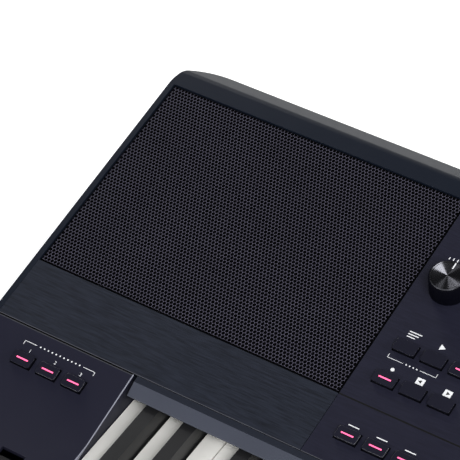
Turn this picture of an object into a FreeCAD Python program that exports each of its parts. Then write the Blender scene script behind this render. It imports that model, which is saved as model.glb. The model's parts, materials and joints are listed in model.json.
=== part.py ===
import FreeCAD, Part
import os
import re
import Sketcher
from FreeCAD import Placement, Rotation, Vector

# A 61-key arranger keyboard. X runs along the keys, Y from the player to the rear, Z up.
# The origin is on the floor under the middle of the case.

SIZES = [
    # Case
    ("body_width", 1004, "case, left to right"),
    ("body_depth", 410, "case, front to rear"),
    ("seam_height", 90.6, "floor to the seam in front of the panel"),
    ("panel_tilt", 10, "slope of the top panel, degrees"),
    ("rear_margin", 13.8, "grille to the crease behind it, along the slope"),
    ("bevel_run", 16.8, "rear bevel, horizontal"),
    ("bevel_drop", 9.3, "rear bevel, vertical"),
    ("rear_corner", 31, "radius of the rear corners"),
    ("front_corner", 12, "radius of the front corners"),
    ("parting_height", 40, "floor to the line where top and bottom cases meet"),
    ("case_wall", 3, "wall of both cases"),
    ("rim_width", 4, "rim left and right of the plates"),
    ("ledge_width", 8, "ledge that carries the plates"),
    ("ledge_thickness", 3, "thickness of that ledge"),
    ("plate_thickness", 3, "speaker covers and control panel"),
    ("seat_gap", 0.2, "clearance round a plate in its seat"),
    ("seam_gap", 0.4, "gap between end blocks and top case"),
    ("foot_height", 6, "rubber feet"),
    ("foot_radius", 12, "rubber feet"),
    ("foot_inset", 50, "feet from the case edges"),
    # Screws and their bosses
    ("boss_radius", 5.5, "screw bosses"),
    ("boss_inset", 14, "bosses from the case ends"),
    ("rear_boss_inset", 19, "rear bosses from the rear edge"),
    ("front_boss_inset", 18, "front bosses from the front edge"),
    ("middle_boss_offset", 250, "middle rear bosses from the middle"),
    ("block_boss_offset", 44, "rear boss of an end block from the seam"),
    ("head_radius", 3.5, "screw head"),
    ("head_height", 3, "screw head"),
    ("head_depth", 24, "screw head's seat above the underside"),
    ("shank_radius", 1.6, "screw shank"),
    ("shank_grip", 8, "screw shank above the parting line"),
    ("screw_clearance", 0.05, "round the shank in the top boss"),
    ("screw_passage", 0.4, "round the shank and head in the bottom boss"),
    # Speakers
    ("band_depth", 46.7, "smooth band in front of the grille"),
    ("control_width", 533, "control panel, along X; the speaker covers share the rest"),
    ("grille_depth", 166.5, "grille, along the slope"),
    ("grille_sink", 0.8, "grille below the panel surface"),
    ("grille_thickness", 1, "perforated sheet"),
    ("baffle_radius", 48, "opening behind the grille"),
    ("driver_radius", 58, "driver flange"),
    ("driver_flange", 3, "thickness of the flange"),
    ("driver_depth", 38, "cover to the rear of the basket"),
    ("driver_wall", 2, "basket and cone wall"),
    ("cone_gap", 0.4, "cone rim to basket"),
    ("cone_depth", 24, "cone rim to dust cap"),
    ("voice_coil_radius", 14, "dust cap and coil"),
    ("magnet_radius", 35, "driver magnet"),
    ("magnet_height", 16, "driver magnet"),
    # End blocks, fall rail and key slip
    ("left_block_width", 112, "left end block"),
    ("block_tilt", 15.5, "slope of the blocks at the seam, degrees"),
    ("block_slope_run", 55, "seam to the knee, horizontal"),
    ("right_block_width", 43.43, "right end block; the keys share the room between the blocks"),
    ("block_front_drop", 4, "white keys above the blocks' front"),
    ("block_edge", 8, "chamfer of the front edge"),
    ("rail_gap", 2.5, "fall rail to the end blocks"),
    ("rail_strip", 4.5, "dark strip at the seam"),
    ("rail_run", 8.3, "grey slope, horizontal"),
    ("rail_drop", 5, "grey slope, vertical"),
    ("rail_lip", 1, "front lip of the rail"),
    ("rail_back", 6, "rear face of the rail"),
    ("slip_drop", 12, "white keys above the key slip"),
    ("slip_gap", 3, "key slip to the key fronts"),
    # Keys
    ("key_gap", 1, "between neighbouring white keys"),
    ("black_slot", 13.7, "room left for a black key"),
    ("black_width", 12.2, "black key at its base"),
    ("black_top_width", 9.6, "black key on top"),
    ("black_rise", 11.5, "black key above the white ones"),
    ("black_front_slope", 5, "lean of the black key's front"),
    ("key_drop", 20.6, "seam above the white keys"),
    ("white_height", 20, "white key, top to underside"),
    ("white_head", 50, "wide front part of a white key"),
    ("key_wall", 2.2, "wall of a hollow key"),
    ("tail_reach", 30, "key tails behind the seam"),
    ("hinge_offset", 11, "hinge rods behind the tails"),
    ("hinge_drop", 18, "white keys above the lowest hinge rod"),
    ("hinge_pitch", 6, "between the three rods of an octave"),
    ("hinge_radius", 2, "hinge rod"),
    ("hinge_clearance", 0.06, "round a rod in its post"),
    ("rod_end_gap", 0.4, "between the ends of two rods"),
    ("arm_width", 6, "arm from key tail to rod"),
    ("arm_thickness", 2.4, "arm from key tail to rod"),
    ("post_thickness", 5, "hinge post, along X"),
    ("post_depth", 12, "hinge post, along Y"),
    # Keybed
    ("chassis_drop", 36, "white keys above the underside of the chassis"),
    ("chassis_thickness", 3, "chassis plate"),
    ("chassis_inset", 4, "chassis behind the key fronts"),
    ("rib_thickness", 3, "ribs that carry the chassis"),
    ("rib_pitch", 200, "between those ribs"),
    ("felt_setback", 15, "felt behind the key fronts"),
    ("felt_width", 20, "felt, along Y"),
    ("felt_thickness", 3, "felt"),
    ("board_thickness", 1.6, "every circuit board"),
    ("contact_width", 50, "contact board, along Y"),
    ("rubber_width", 30, "contact rubber, along Y"),
    ("rubber_thickness", 1, "sheet of the contact rubber"),
    ("dome_radius", 4.5, "contact dome"),
    ("dome_height", 3.5, "contact dome"),
    # Panel buttons
    ("button_spacing", 4.5, "between neighbouring panel buttons"),
    ("button_depth", 9.2, "panel button, along the slope"),
    ("button_rise", 2.4, "button above the panel"),
    ("button_gap", 0.3, "clearance round a button"),
    ("button_flange", 1.2, "flange beside a button, under the plate"),
    ("flange_thickness", 1.5, "that flange, and the carrier of a strip"),
    ("button_travel", 1, "how far a button is pressed"),
    ("stem_width", 5, "plunger under a button"),
    ("first_column", 21.1, "first column from the control panel's left edge"),
    ("last_column", 31.9, "last column from the control panel's right edge"),
    ("strip_row", 22, "front row from the seam"),
    ("lower_row", 68, "lower button row from the seam"),
    ("upper_row", 94.4, "upper button row from the seam"),
    ("power_inset", 23.2, "power button from the panel's rear edge"),
    ("side_margin", 8.5, "rows beside the display, from its front and rear edges"),
    ("side_offset", 18.6, "columns beside the display, from its edge"),
    # Knob, dial and display
    ("knob_column", 23.2, "volume knob from the control panel's left edge"),
    ("knob_row", 145.9, "volume knob from the seam"),
    ("knob_radius", 13, "volume knob at its base"),
    ("knob_top_radius", 11.5, "volume knob on top"),
    ("knob_height", 16, "volume knob above the panel"),
    ("knob_lift", 0.6, "knob and dial above the panel"),
    ("dial_row", 150, "data dial from the seam"),
    ("dial_radius", 20, "data dial"),
    ("dial_height", 9, "data dial above the panel"),
    ("dimple_radius", 7, "finger dimple of the dial"),
    ("dimple_depth", 2, "finger dimple of the dial"),
    ("shaft_radius", 3, "stem of knob and dial"),
    ("shaft_clearance", 0.06, "round a turning shaft"),
    ("shaft_depth", 7, "stem inside its potentiometer"),
    ("pot_width", 18, "potentiometer body"),
    ("display_row", 115, "front edge of the display from the seam"),
    ("display_margin", 18.2, "display from the panel's rear edge"),
    ("display_border", 6, "display module beyond the window"),
    ("display_thickness", 6, "display module"),
    ("switch_drop", 8, "control panel's underside to the switch board"),
    ("switch_inset", 16, "switch board inside the control panel"),
    ("standoff_radius", 3, "standoffs of the boards"),
    # Assignable buttons on the left block
    ("assign_shift", 4, "middle button right of the block's middle"),
    ("assign_pitch", 20, "between these buttons"),
    ("assign_row", 23.2, "buttons in front of the seam"),
    ("assign_width", 14.8, "button, along X"),
    ("assign_depth", 9, "button, along the slope"),
    ("block_wall", 3, "wall of the end blocks"),
    ("assign_board_reach", 10.6, "switch board beyond the outer buttons"),
    ("assign_board_depth", 26, "switch board under these buttons, along the slope"),
    # Wheels
    ("wheel_margin", 20, "block's sides to the outer uprights of the wheels"),
    ("wheel_share", 0.38, "wheel axis behind the front, as a share of front to seam"),
    ("wheel_radius", 25, "wheel"),
    ("wheel_width", 16, "wheel"),
    ("wheel_rise", 10, "wheel above the block"),
    ("wheel_gap", 1, "slot beside a wheel"),
    ("notch_radius", 8, "finger notch of a wheel"),
    ("notch_depth", 2.5, "finger notch of a wheel"),
    ("axle_radius", 3, "wheel axle"),
    ("upright_thickness", 4, "bracket uprights"),
    ("upright_width", 24, "bracket uprights, along Y"),
    ("bracket_base", 3, "bracket's base plate"),
    # Boards and jacks
    ("main_board_width", 300, "main board, along X"),
    ("main_board_depth", 140, "main board, along Y"),
    ("main_board_left", 170, "main board's left edge, left of the middle"),
    ("board_rear_inset", 25, "boards from the rear wall"),
    ("board_lift", 8, "standoffs under the boards"),
    ("chip_height", 4, "chips"),
    ("amp_board_width", 130, "amplifier board, along X"),
    ("amp_board_depth", 90, "amplifier board, along Y"),
    ("board_gap", 50, "main board to amplifier board"),
    ("fin_height", 25, "heat sink"),
    ("fin_thickness", 3, "heat sink fins"),
    ("fin_pitch", 9, "between heat sink fins"),
    ("jack_height", 72, "jacks above the floor"),
    ("jack_first", 60, "first jack right of the middle"),
    ("jack_pitch", 32, "between the jacks"),
    ("jack_radius", 9, "round jack body"),
    ("jack_length", 24, "jack body"),
    ("nose_radius", 6, "jack nose in the rear wall"),
    ("nose_gap", 0.2, "clearance of the jacks in the rear wall"),
    ("phone_bore", 3.25, "bore for a 6.35 mm plug"),
    ("phone_bore_length", 20, "bore for a 6.35 mm plug"),
    ("power_bore", 2.85, "bore for a 5.5 mm power plug"),
    ("power_bore_length", 10, "bore for a 5.5 mm power plug"),
    ("port_wall", 1, "shell of the data ports"),
    ("port_depth", 9, "data ports, inside"),
    ("flat_port_width", 12.6, "flat data port, inside"),
    ("flat_port_height", 5.2, "flat data port, inside"),
    ("square_port_width", 8.6, "square data port, inside"),
    ("square_port_height", 7.9, "square data port, inside"),
    # Music rest slots
    ("slot_offset", 150, "slots from the middle"),
    ("slot_length", 80, "music rest slot"),
    ("slot_width", 7, "music rest slot"),
]
OCTAVES = 5
WHITES_PER_OCTAVE = 7
WHITES = OCTAVES * WHITES_PER_OCTAVE + 1
LAST_COLUMN = 24
SIDE_COUNT = 4
OVERCUT = 1  # how far a cutting tool runs past a face, and a fused piece into its neighbour
DOMES = 61
PHONE_JACKS = 2

doc = FreeCAD.newDocument("ArrangerKeyboard")
sheet = doc.addObject("Spreadsheet::Sheet", "Sizes")
for row, (alias, size, meaning) in enumerate(SIZES, 1):
    sheet.set(f"A{row}", meaning)
    sheet.set(f"B{row}", str(size))
    sheet.setAlias(f"B{row}", alias)
doc.recompute()

ALIASES = {alias for alias, size, meaning in SIZES}
NODES = {}


def formula(text):
    """Write each size in a formula as a reference to its cell."""
    return re.sub(r"[a-z_]+", lambda word: "Sizes." * (word[0] in ALIASES) + word[0], str(text))


def value(text):
    """The present value of a formula."""
    return float(sheet.evalExpression(formula(text)))


# Places that many pieces share, as formulas of the sheet's sizes
HALF_WIDTH = "(body_width / 2)"
FRONT = "(-body_depth / 2)"
REAR = "(body_depth / 2)"
CREASE_Y = "(body_depth / 2 - bevel_run)"
PLATE_LENGTH = "(band_depth + grille_depth)"
PANEL_LENGTH = "(band_depth + grille_depth + rear_margin)"
SEAM_Y = f"({CREASE_Y} - {PANEL_LENGTH} * cos(panel_tilt * 1deg))"
SEAM_Z = "seam_height"
CREASE_Z = f"(seam_height + {PANEL_LENGTH} * sin(panel_tilt * 1deg))"
FLOOR_TOP = "(foot_height + case_wall)"
GRILLE_WIDTH = "((body_width - control_width) / 2 - rim_width)"
PANEL_LEFT = "(-control_width / 2)"
CEILING = "(plate_thickness + ledge_thickness)"
KEYS_LEFT = "(left_block_width - body_width / 2)"
KEYS_RIGHT = "(body_width / 2 - right_block_width)"
PITCH = f"((body_width - left_block_width - right_block_width) / {WHITES})"
OCTAVE = f"({WHITES_PER_OCTAVE} * {PITCH})"
WHITE_TOP = "(seam_height - key_drop)"
SLIP_TOP = f"({WHITE_TOP} - slip_drop)"
BLOCK_FRONT_TOP = f"({WHITE_TOP} - block_front_drop)"
HINGE_Z = f"({WHITE_TOP} - hinge_drop)"
CHASSIS_BASE = f"({WHITE_TOP} - chassis_drop)"
KNEE_Y = f"({SEAM_Y} - block_slope_run)"
KNEE_Z = f"({SEAM_Z} - block_slope_run * tan(block_tilt * 1deg))"
KEY_FRONT = f"({FRONT} + case_wall + slip_gap)"
KEY_BOTTOM = f"({WHITE_TOP} - white_height)"
HEAD_END = f"({KEY_FRONT} + white_head)"
KEY_TAIL = f"({SEAM_Y} + tail_reach)"
HINGE_Y = f"({KEY_TAIL} + hinge_offset)"
CHASSIS_TOP = f"({CHASSIS_BASE} + chassis_thickness)"
FELT_END = f"({KEY_FRONT} + felt_setback + felt_width)"
CONTACT_Y = f"(({FELT_END} + {HINGE_Y} - post_depth / 2 - contact_width) / 2)"
WHEEL_SETBACK = f"(wheel_share * ({SEAM_Y} - {FRONT}))"
WHEEL_Y = f"({FRONT} + {WHEEL_SETBACK})"
WHEEL_SLOPE = f"(({KNEE_Z} - {BLOCK_FRONT_TOP}) / ({KNEE_Y} - {FRONT} - block_edge))"
WHEEL_SURFACE = f"({BLOCK_FRONT_TOP} + ({WHEEL_SETBACK} - block_edge) * {WHEEL_SLOPE})"
WHEEL_Z = f"({WHEEL_SURFACE} + wheel_rise - wheel_radius)"
WHEEL_PITCH = "((left_block_width - 2 * wheel_margin) / 2)"
SPEAKER_X = f"({HALF_WIDTH} - rim_width - {GRILLE_WIDTH} / 2)"
SPEAKER_ROW = "(band_depth + grille_depth / 2)"
BOARD_Z = f"({FLOOR_TOP} + board_lift)"
BOARD_REAR = f"({REAR} - board_rear_inset)"
KNOB_X = f"({PANEL_LEFT} + knob_column)"
BUTTON_PITCH = f"((control_width - first_column - last_column) / {LAST_COLUMN})"
BUTTON_WIDTH = f"({BUTTON_PITCH} - button_spacing)"


# Building blocks

def bind(item, **formulas):
    """Bind properties of an object to formulas of the sheet."""
    for name, text in formulas.items():
        item.setExpression(name, formula(text))
    return item


def place(item, x=0, y=0, z=0):
    """Bind the position of an object."""
    for axis, text in zip("xyz", (x, y, z)):
        item.setExpression("Placement.Base." + axis, formula(text))
    return item


def tilt(item, angle, x=0, y=0, z=0):
    """Bind the position of an object and turn it about X by a bound angle."""
    item.Placement = Placement(Vector(), Rotation(Vector(1, 0, 0), 1))
    item.setExpression("Placement.Rotation.Angle", formula(angle))
    return place(item, x, y, z)


def on_panel(item, x=0, row=0):
    """Put an object made flat on the sloping panel, a distance behind the seam."""
    y = f"{SEAM_Y} + ({row}) * cos(panel_tilt * 1deg)"
    z = f"{SEAM_Z} + ({row}) * sin(panel_tilt * 1deg)"
    return tilt(item, "panel_tilt", x, y, z)


def on_block(item, x=0, row=0):
    """Put an object made flat on an end block's slope, a distance in front of the seam."""
    y = f"{SEAM_Y} - ({row}) * cos(block_tilt * 1deg)"
    z = f"{SEAM_Z} - ({row}) * sin(block_tilt * 1deg)"
    return tilt(item, "block_tilt", x, y, z)


def node(name, item):
    """Give an object the name of its node."""
    item.Label = name
    NODES[name] = item
    return item


def box(x, y, z, length, width, height):
    """A block given by its lowest corner and its sizes along X, Y and Z."""
    item = doc.addObject("Part::Box", "Block")
    bind(item, Length=length, Width=width, Height=height)
    return place(item, x, y, z)


def plate(x, y, z, length, width, height):
    """A block centred in X and Y, standing on z."""
    return box(f"({x}) - ({length}) / 2", f"({y}) - ({width}) / 2", z, length, width, height)


def rod(direction, x, y, z, radius, length):
    """A round bar that starts at a point and runs along +X, +Y or +Z."""
    item = doc.addObject("Part::Cylinder", "Bar")
    turns = {"x": Rotation(Vector(0, 1, 0), 90), "y": Rotation(Vector(1, 0, 0), -90), "z": Rotation()}
    item.Placement = Placement(Vector(), turns[direction])
    bind(item, Radius=radius, Height=length)
    return place(item, x, y, z)


def fuse(*items):
    item = doc.addObject("Part::MultiFuse", "Fusion")
    item.Shapes = list(items)
    item.Refine = True
    return item


def common(first, second):
    item = doc.addObject("Part::Common", "Overlap")
    item.Base = first
    item.Tool = second
    item.Refine = True
    return item


def cut(base, *tools):
    item = doc.addObject("Part::Cut", "Difference")
    item.Base = base
    item.Tool = tools[0] if len(tools) == 1 else fuse(*tools)
    item.Refine = True
    return item


def compound(*items):
    item = doc.addObject("Part::Compound", "Group")
    item.Links = list(items)
    return item


def outline(sketch, points):
    """Draw a closed outline whose corners are bound to formulas."""
    corners = [Vector(value(across), value(up), 0) for across, up in points]
    count = len(corners)
    for index, corner in enumerate(corners):
        sketch.addGeometry(Part.LineSegment(corner, corners[(index + 1) % count]))
    for index in range(count):
        sketch.addConstraint(Sketcher.Constraint("Coincident", index, 2, (index + 1) % count, 1))
    for index, (across, up) in enumerate(points):
        for kind, text in (("DistanceX", across), ("DistanceY", up)):
            number = sketch.addConstraint(Sketcher.Constraint(kind, -1, 1, index, 1, value(text)))
            sketch.setExpression(f"Constraints[{number}]", formula(text))


def body_sketch(body, role, points):
    sketch = body.newObject("Sketcher::SketchObject", "Outline")
    support = next(item for item in body.Origin.OriginFeatures if item.Role == role)
    sketch.AttachmentSupport = [(support, "")]
    sketch.MapMode = "FlatFace"
    outline(sketch, points)
    return sketch


def lathe(points):
    """A body turned about Z from an outline of radius and height."""
    body = doc.addObject("PartDesign::Body", "Turned")
    sketch = body_sketch(body, "XZ_Plane", points)
    turn = body.newObject("PartDesign::Revolution", "Turn")
    turn.Profile = sketch
    turn.ReferenceAxis = (sketch, ["V_Axis"])
    turn.Angle = 360
    return body


def prism(x, length, points):
    """A body with an outline in Y and Z, drawn out along X."""
    body = doc.addObject("PartDesign::Body", "Profile")
    pad = body.newObject("PartDesign::Pad", "Length")
    pad.Profile = body_sketch(body, "YZ_Plane", points)
    bind(pad, Length=length)
    body.Tip = pad
    return place(body, x)


def slab(x, y, z, length, width, height):
    """A plain plate as a body of its own, given like a block."""
    low = f"({y})"
    base = f"({z})"
    high = f"({y}) + ({width})"
    top = f"({z}) + ({height})"
    return prism(x, length, [(low, base), (high, base), (high, top), (low, top)])


def case_plan(inset, z, height):
    """The case's plan with its rounded corners, drawn in by an inset and drawn up along Z."""
    width = f"(body_width - 2 * ({inset}))"
    depth = f"(body_depth - 2 * ({inset}))"
    front = f"(front_corner - ({inset}))"
    rear = f"(rear_corner - ({inset}))"
    low = f"(-{depth} / 2)"
    pieces = [
        box(f"-{width} / 2", f"{low} + {front}", z, width, f"{depth} - {front} - {rear}", height),
        box(f"-{width} / 2 + {front}", low, z, f"{width} - 2 * {front}", f"{depth} - {rear}", height),
        box(f"-{width} / 2 + {rear}", f"{low} + {front}", z, f"{width} - 2 * {rear}", f"{depth} - {front}",
            height),
    ]
    for side in ("-", "+"):
        for radius, y in ((front, f"{low} + {front}"), (rear, f"-{low} - {rear}")):
            pieces.append(rod("z", f"{side}({width} / 2 - {radius})", y, z, radius, height))
    return fuse(*pieces)


# Screw positions: top case, then end blocks

REAR_BOSS_Y = f"({REAR} - rear_boss_inset)"
CASE_SCREWS = [
    (f"-({HALF_WIDTH} - boss_inset)", REAR_BOSS_Y),
    ("-middle_boss_offset", REAR_BOSS_Y),
    ("middle_boss_offset", REAR_BOSS_Y),
    (f"{HALF_WIDTH} - boss_inset", REAR_BOSS_Y),
]
BLOCK_SCREW_ROWS = [f"({FRONT} + front_boss_inset)", f"({SEAM_Y} - block_boss_offset)"]
LEFT_SCREWS = [(f"-({HALF_WIDTH} - boss_inset)", y) for y in BLOCK_SCREW_ROWS]
RIGHT_SCREWS = [(f"{HALF_WIDTH} - boss_inset", y) for y in BLOCK_SCREW_ROWS]
SCREWS = CASE_SCREWS + LEFT_SCREWS + RIGHT_SCREWS


def boss_columns(screws):
    return [rod("z", x, y, "parting_height", "boss_radius", CREASE_Z) for x, y in screws]


def shank_holes(screws):
    radius = "shank_radius + screw_clearance"
    low = f"parting_height - {OVERCUT}"
    return [rod("z", x, y, low, radius, f"shank_grip + 2 * {OVERCUT}") for x, y in screws]


# Jacks: two phone jacks, the power inlet, a flat and a square data port, side by side

JACK_X = [f"(jack_first + {index} * jack_pitch)" for index in range(PHONE_JACKS + 3)]
ROUND_JACKS = [
    (JACK_X[0], "phone_bore", "phone_bore_length"),
    (JACK_X[1], "phone_bore", "phone_bore_length"),
    (JACK_X[2], "power_bore", "power_bore_length"),
]
PORTS = [
    (JACK_X[3], "flat_port_width", "flat_port_height"),
    (JACK_X[4], "square_port_width", "square_port_height"),
]


def wall_holes():
    """Holes of the rear wall in which the jacks sit."""
    start = f"{REAR} - 2 * case_wall"
    holes = []
    for x, bore, deep in ROUND_JACKS:
        holes.append(rod("y", x, start, "jack_height", "nose_radius + nose_gap", "3 * case_wall"))
    for x, width, height in PORTS:
        wide = f"({width} + 2 * port_wall + 2 * nose_gap)"
        high = f"({height} + 2 * port_wall + 2 * nose_gap)"
        low = f"jack_height - {high} / 2"
        holes.append(box(f"{x} - {wide} / 2", start, low, wide, "3 * case_wall", high))
    return holes


def rear_jacks():
    jacks = []
    inner = f"({REAR} - case_wall)"
    for x, bore, deep in ROUND_JACKS:
        body = rod("y", x, f"{inner} - jack_length", "jack_height", "jack_radius", "jack_length")
        nose = rod("y", x, f"{inner} - {OVERCUT}", "jack_height", "nose_radius", f"case_wall + {OVERCUT}")
        hole = rod("y", x, f"{REAR} - {deep}", "jack_height", bore, f"{deep} + {OVERCUT}")
        jacks.append(cut(fuse(body, nose), hole))
    for x, width, height in PORTS:
        wide = f"({width} + 2 * port_wall)"
        high = f"({height} + 2 * port_wall)"
        shell = box(f"{x} - {wide} / 2", f"{inner} - jack_length", f"jack_height - {high} / 2",
                    wide, "jack_length + case_wall", high)
        collar = box(f"{x} - {wide} / 2 - port_wall", f"{inner} - jack_length",
                     f"jack_height - {high} / 2 - port_wall", f"{wide} + 2 * port_wall", "jack_length",
                     f"{high} + 2 * port_wall")
        hole = box(f"{x} - {width} / 2", f"{REAR} - port_depth", f"jack_height - {height} / 2",
                   width, f"port_depth + {OVERCUT}", height)
        jacks.append(cut(fuse(shell, collar), hole))
    return compound(*jacks)


# Cases

def bottom_case():
    """A tray with the key slip in front, ribs under the keybed, standoffs and screw bosses."""
    height = "(parting_height - foot_height)"
    root = f"({FLOOR_TOP} - {OVERCUT})"
    pieces = [cut(case_plan("0", "foot_height", height), case_plan("case_wall", FLOOR_TOP, height))]
    pieces.append(box(f"{KEYS_LEFT} + seam_gap", FRONT, "parting_height - case_wall",
                      f"{KEYS_RIGHT} - {KEYS_LEFT} - 2 * seam_gap", "case_wall",
                      f"{SLIP_TOP} - parting_height + case_wall"))
    for index in (-1.5, -0.5, 0.5, 1.5):
        x = f"({KEYS_LEFT} + {KEYS_RIGHT}) / 2 + {index} * rib_pitch - rib_thickness / 2"
        pieces.append(box(x, f"{KEY_FRONT} + chassis_inset", root, "rib_thickness",
                          f"{HINGE_Y} - {KEY_FRONT} - chassis_inset", f"{CHASSIS_BASE} - {root}"))
    for x, y in board_standoffs():
        pieces.append(rod("z", x, y, root, "standoff_radius", f"{BOARD_Z} - {root}"))
    for x, y in SCREWS:
        pieces.append(rod("z", x, y, root, "boss_radius", f"parting_height - {root}"))
    holes = []
    low = f"(foot_height - {OVERCUT})"
    for x, y in SCREWS:
        holes.append(rod("z", x, y, low, "head_radius + screw_passage", f"head_depth + {OVERCUT}"))
        holes.append(rod("z", x, y, low, "shank_radius + screw_passage", "parting_height"))
    return cut(fuse(*pieces), *holes)


def top_case():
    profile = [(SEAM_Y, "parting_height"), (SEAM_Y, SEAM_Z), (CREASE_Y, CREASE_Z),
               (REAR, f"{CREASE_Z} - bevel_drop"), (REAR, "parting_height")]
    outer = common(prism(f"-{HALF_WIDTH}", "body_width", profile),
                   case_plan("0", "parting_height", CREASE_Z))
    below = slab("0", f"-{PANEL_LENGTH}", f"-2 * {CREASE_Z}", "body_width",
                 f"2 * {PANEL_LENGTH} - case_wall", f"2 * {CREASE_Z} - {CEILING}")
    under_panel = on_panel(below, f"-{HALF_WIDTH}")
    under_bevel = box(f"-{HALF_WIDTH}", CREASE_Y + " - case_wall", "0", "body_width", "bevel_run",
                      f"{CREASE_Z} - bevel_drop - case_wall")
    inside = common(case_plan("case_wall", f"parting_height - {OVERCUT}", CREASE_Z),
                    fuse(under_panel, under_bevel))
    shell = fuse(cut(outer, inside), *[common(outer, column) for column in boss_columns(CASE_SCREWS)])
    recess = box(f"rim_width - {HALF_WIDTH}", "-band_depth", "-plate_thickness", "body_width - 2 * rim_width",
                 f"{PLATE_LENGTH} + band_depth + seat_gap", "2 * plate_thickness")
    window_depth = f"({PLATE_LENGTH} - 2 * ledge_width)"
    side_width = f"({GRILLE_WIDTH} - 2 * ledge_width)"
    windows = [
        box(x, "ledge_width", f"-2 * {CEILING}", length, window_depth, f"3 * {CEILING}")
        for x, length in (
            (f"rim_width + ledge_width - {HALF_WIDTH}", side_width),
            (f"{PANEL_LEFT} + ledge_width", f"-2 * {PANEL_LEFT} - 2 * ledge_width"),
            (f"-{PANEL_LEFT} + ledge_width", side_width),
        )
    ]
    slot_row = f"(({PLATE_LENGTH} + {PANEL_LENGTH} - slot_width) / 2)"
    slots = [
        box(f"{side}slot_offset - slot_length / 2", slot_row, f"-2 * {CEILING}",
            "slot_length", "slot_width", f"3 * {CEILING}")
        for side in ("-", "+")
    ]
    openings = on_panel(fuse(recess, *windows, *slots))
    return cut(shell, openings, *wall_holes(), *shank_holes(CASE_SCREWS))


def block_shell(x, width, screws):
    """A hollow end block, open below and to the rear, with its screw bosses."""
    rear = f"({SEAM_Y} - seam_gap)"
    rear_top = f"({SEAM_Z} - seam_gap * tan(block_tilt * 1deg))"
    low = f"(parting_height - {OVERCUT})"
    past_rear = f"({rear} + {OVERCUT})"
    profile = [(FRONT, "parting_height"), (FRONT, f"{BLOCK_FRONT_TOP} - block_edge"),
               (f"{FRONT} + block_edge", BLOCK_FRONT_TOP), (KNEE_Y, KNEE_Z),
               (rear, rear_top), (rear, "parting_height")]
    room = [(f"{FRONT} + block_wall", low),
            (f"{FRONT} + block_wall", f"{BLOCK_FRONT_TOP} - block_edge - block_wall / 2"),
            (f"{FRONT} + block_edge + block_wall / 2", f"{BLOCK_FRONT_TOP} - block_wall"),
            (KNEE_Y, f"{KNEE_Z} - block_wall"),
            (past_rear, f"{rear_top} - block_wall + {OVERCUT} * tan(block_tilt * 1deg)"),
            (past_rear, low)]
    outer = common(prism(x, width, profile), case_plan("0", "parting_height", CREASE_Z))
    inside = common(prism(f"{x} + block_wall", f"{width} - 2 * block_wall", room),
                    case_plan("block_wall", low, CREASE_Z))
    return fuse(cut(outer, inside), *[common(outer, column) for column in boss_columns(screws)])


def left_end_block():
    """The end block with openings for the assignable buttons and the wheels."""
    shell = block_shell(f"-{HALF_WIDTH}", "left_block_width", LEFT_SCREWS)
    feet = [rod("z", x, f"-assign_row - {STANDOFF_ROW}", f"-{SWITCH_TOP}", "standoff_radius",
                f"{SWITCH_TOP} - block_wall / 2") for x in ASSIGN_STANDOFFS]
    buttons = [
        plate(x, "-assign_row", "-2 * block_wall", "assign_width + 2 * button_gap",
              "assign_depth + 2 * button_gap", "3 * block_wall")
        for x in ASSIGN_X
    ]
    sunk = "(wheel_radius - wheel_rise - 3 * block_wall)"
    slots = [
        plate(x, WHEEL_Y, f"{WHEEL_Z} + {sunk}", "wheel_width + 2 * wheel_gap",
              f"2 * sqrt(wheel_radius ^ 2 - {sunk} ^ 2) + 2 * wheel_gap", "wheel_radius")
        for x in WHEEL_X
    ]
    solid = fuse(shell, on_block(fuse(*feet)))
    return cut(solid, on_block(fuse(*buttons)), *slots, *shank_holes(LEFT_SCREWS))


def right_end_block():
    shell = block_shell(KEYS_RIGHT, "right_block_width", RIGHT_SCREWS)
    return cut(shell, *shank_holes(RIGHT_SCREWS))


def fall_rail():
    crest = f"({SEAM_Z} - rail_strip * tan(block_tilt * 1deg))"
    front = f"({SEAM_Y} - rail_strip - rail_run)"
    profile = [(SEAM_Y, SEAM_Z), (f"{SEAM_Y} - rail_strip", crest), (front, f"{crest} - rail_drop"),
               (front, f"{crest} - rail_drop - rail_lip"),
               (f"{front} + 2 * rail_lip", f"{crest} - rail_drop - rail_lip"),
               (SEAM_Y, f"{SEAM_Z} - rail_back")]
    return prism(f"{KEYS_LEFT} + rail_gap", f"{KEYS_RIGHT} - {KEYS_LEFT} - 2 * rail_gap", profile)


def rubber_feet():
    x = f"({HALF_WIDTH} - foot_inset)"
    y = f"({REAR} - foot_inset)"
    places = [("-" + x, "-" + y), (x, "-" + y), ("-" + x, y), (x, y), ("0", "0")]
    return compound(*[rod("z", x, y, "0", "foot_radius", "foot_height") for x, y in places])


def case_screws():
    screws = []
    seat = "(foot_height + head_depth)"
    for x, y in SCREWS:
        head = rod("z", x, y, f"{seat} - head_height", "head_radius", "head_height")
        root = f"({seat} - {OVERCUT})"
        shank = rod("z", x, y, root, "shank_radius", f"parting_height + shank_grip - {root}")
        screws.append(fuse(head, shank))
    return compound(*screws)


# Speakers

def speaker_cover(side):
    """A plate with a smooth band in front, a seat for the grille behind it and the speaker's opening."""
    left = f"rim_width + seat_gap - {HALF_WIDTH}" if side == "-" else f"-{PANEL_LEFT} + seat_gap"
    width = f"{GRILLE_WIDTH} - 2 * seat_gap"
    base = box(left, "seat_gap", "-plate_thickness", width, f"{PLATE_LENGTH} - seat_gap", "plate_thickness")
    seat = box(f"({left}) - {OVERCUT}", "band_depth", "-grille_sink - grille_thickness",
               f"({width}) + 2 * {OVERCUT}", f"grille_depth + {OVERCUT}", "plate_thickness")
    opening = rod("z", f"{side}{SPEAKER_X}", SPEAKER_ROW, "-2 * plate_thickness", "baffle_radius",
                  "3 * plate_thickness")
    return on_panel(cut(base, seat, opening))


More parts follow.
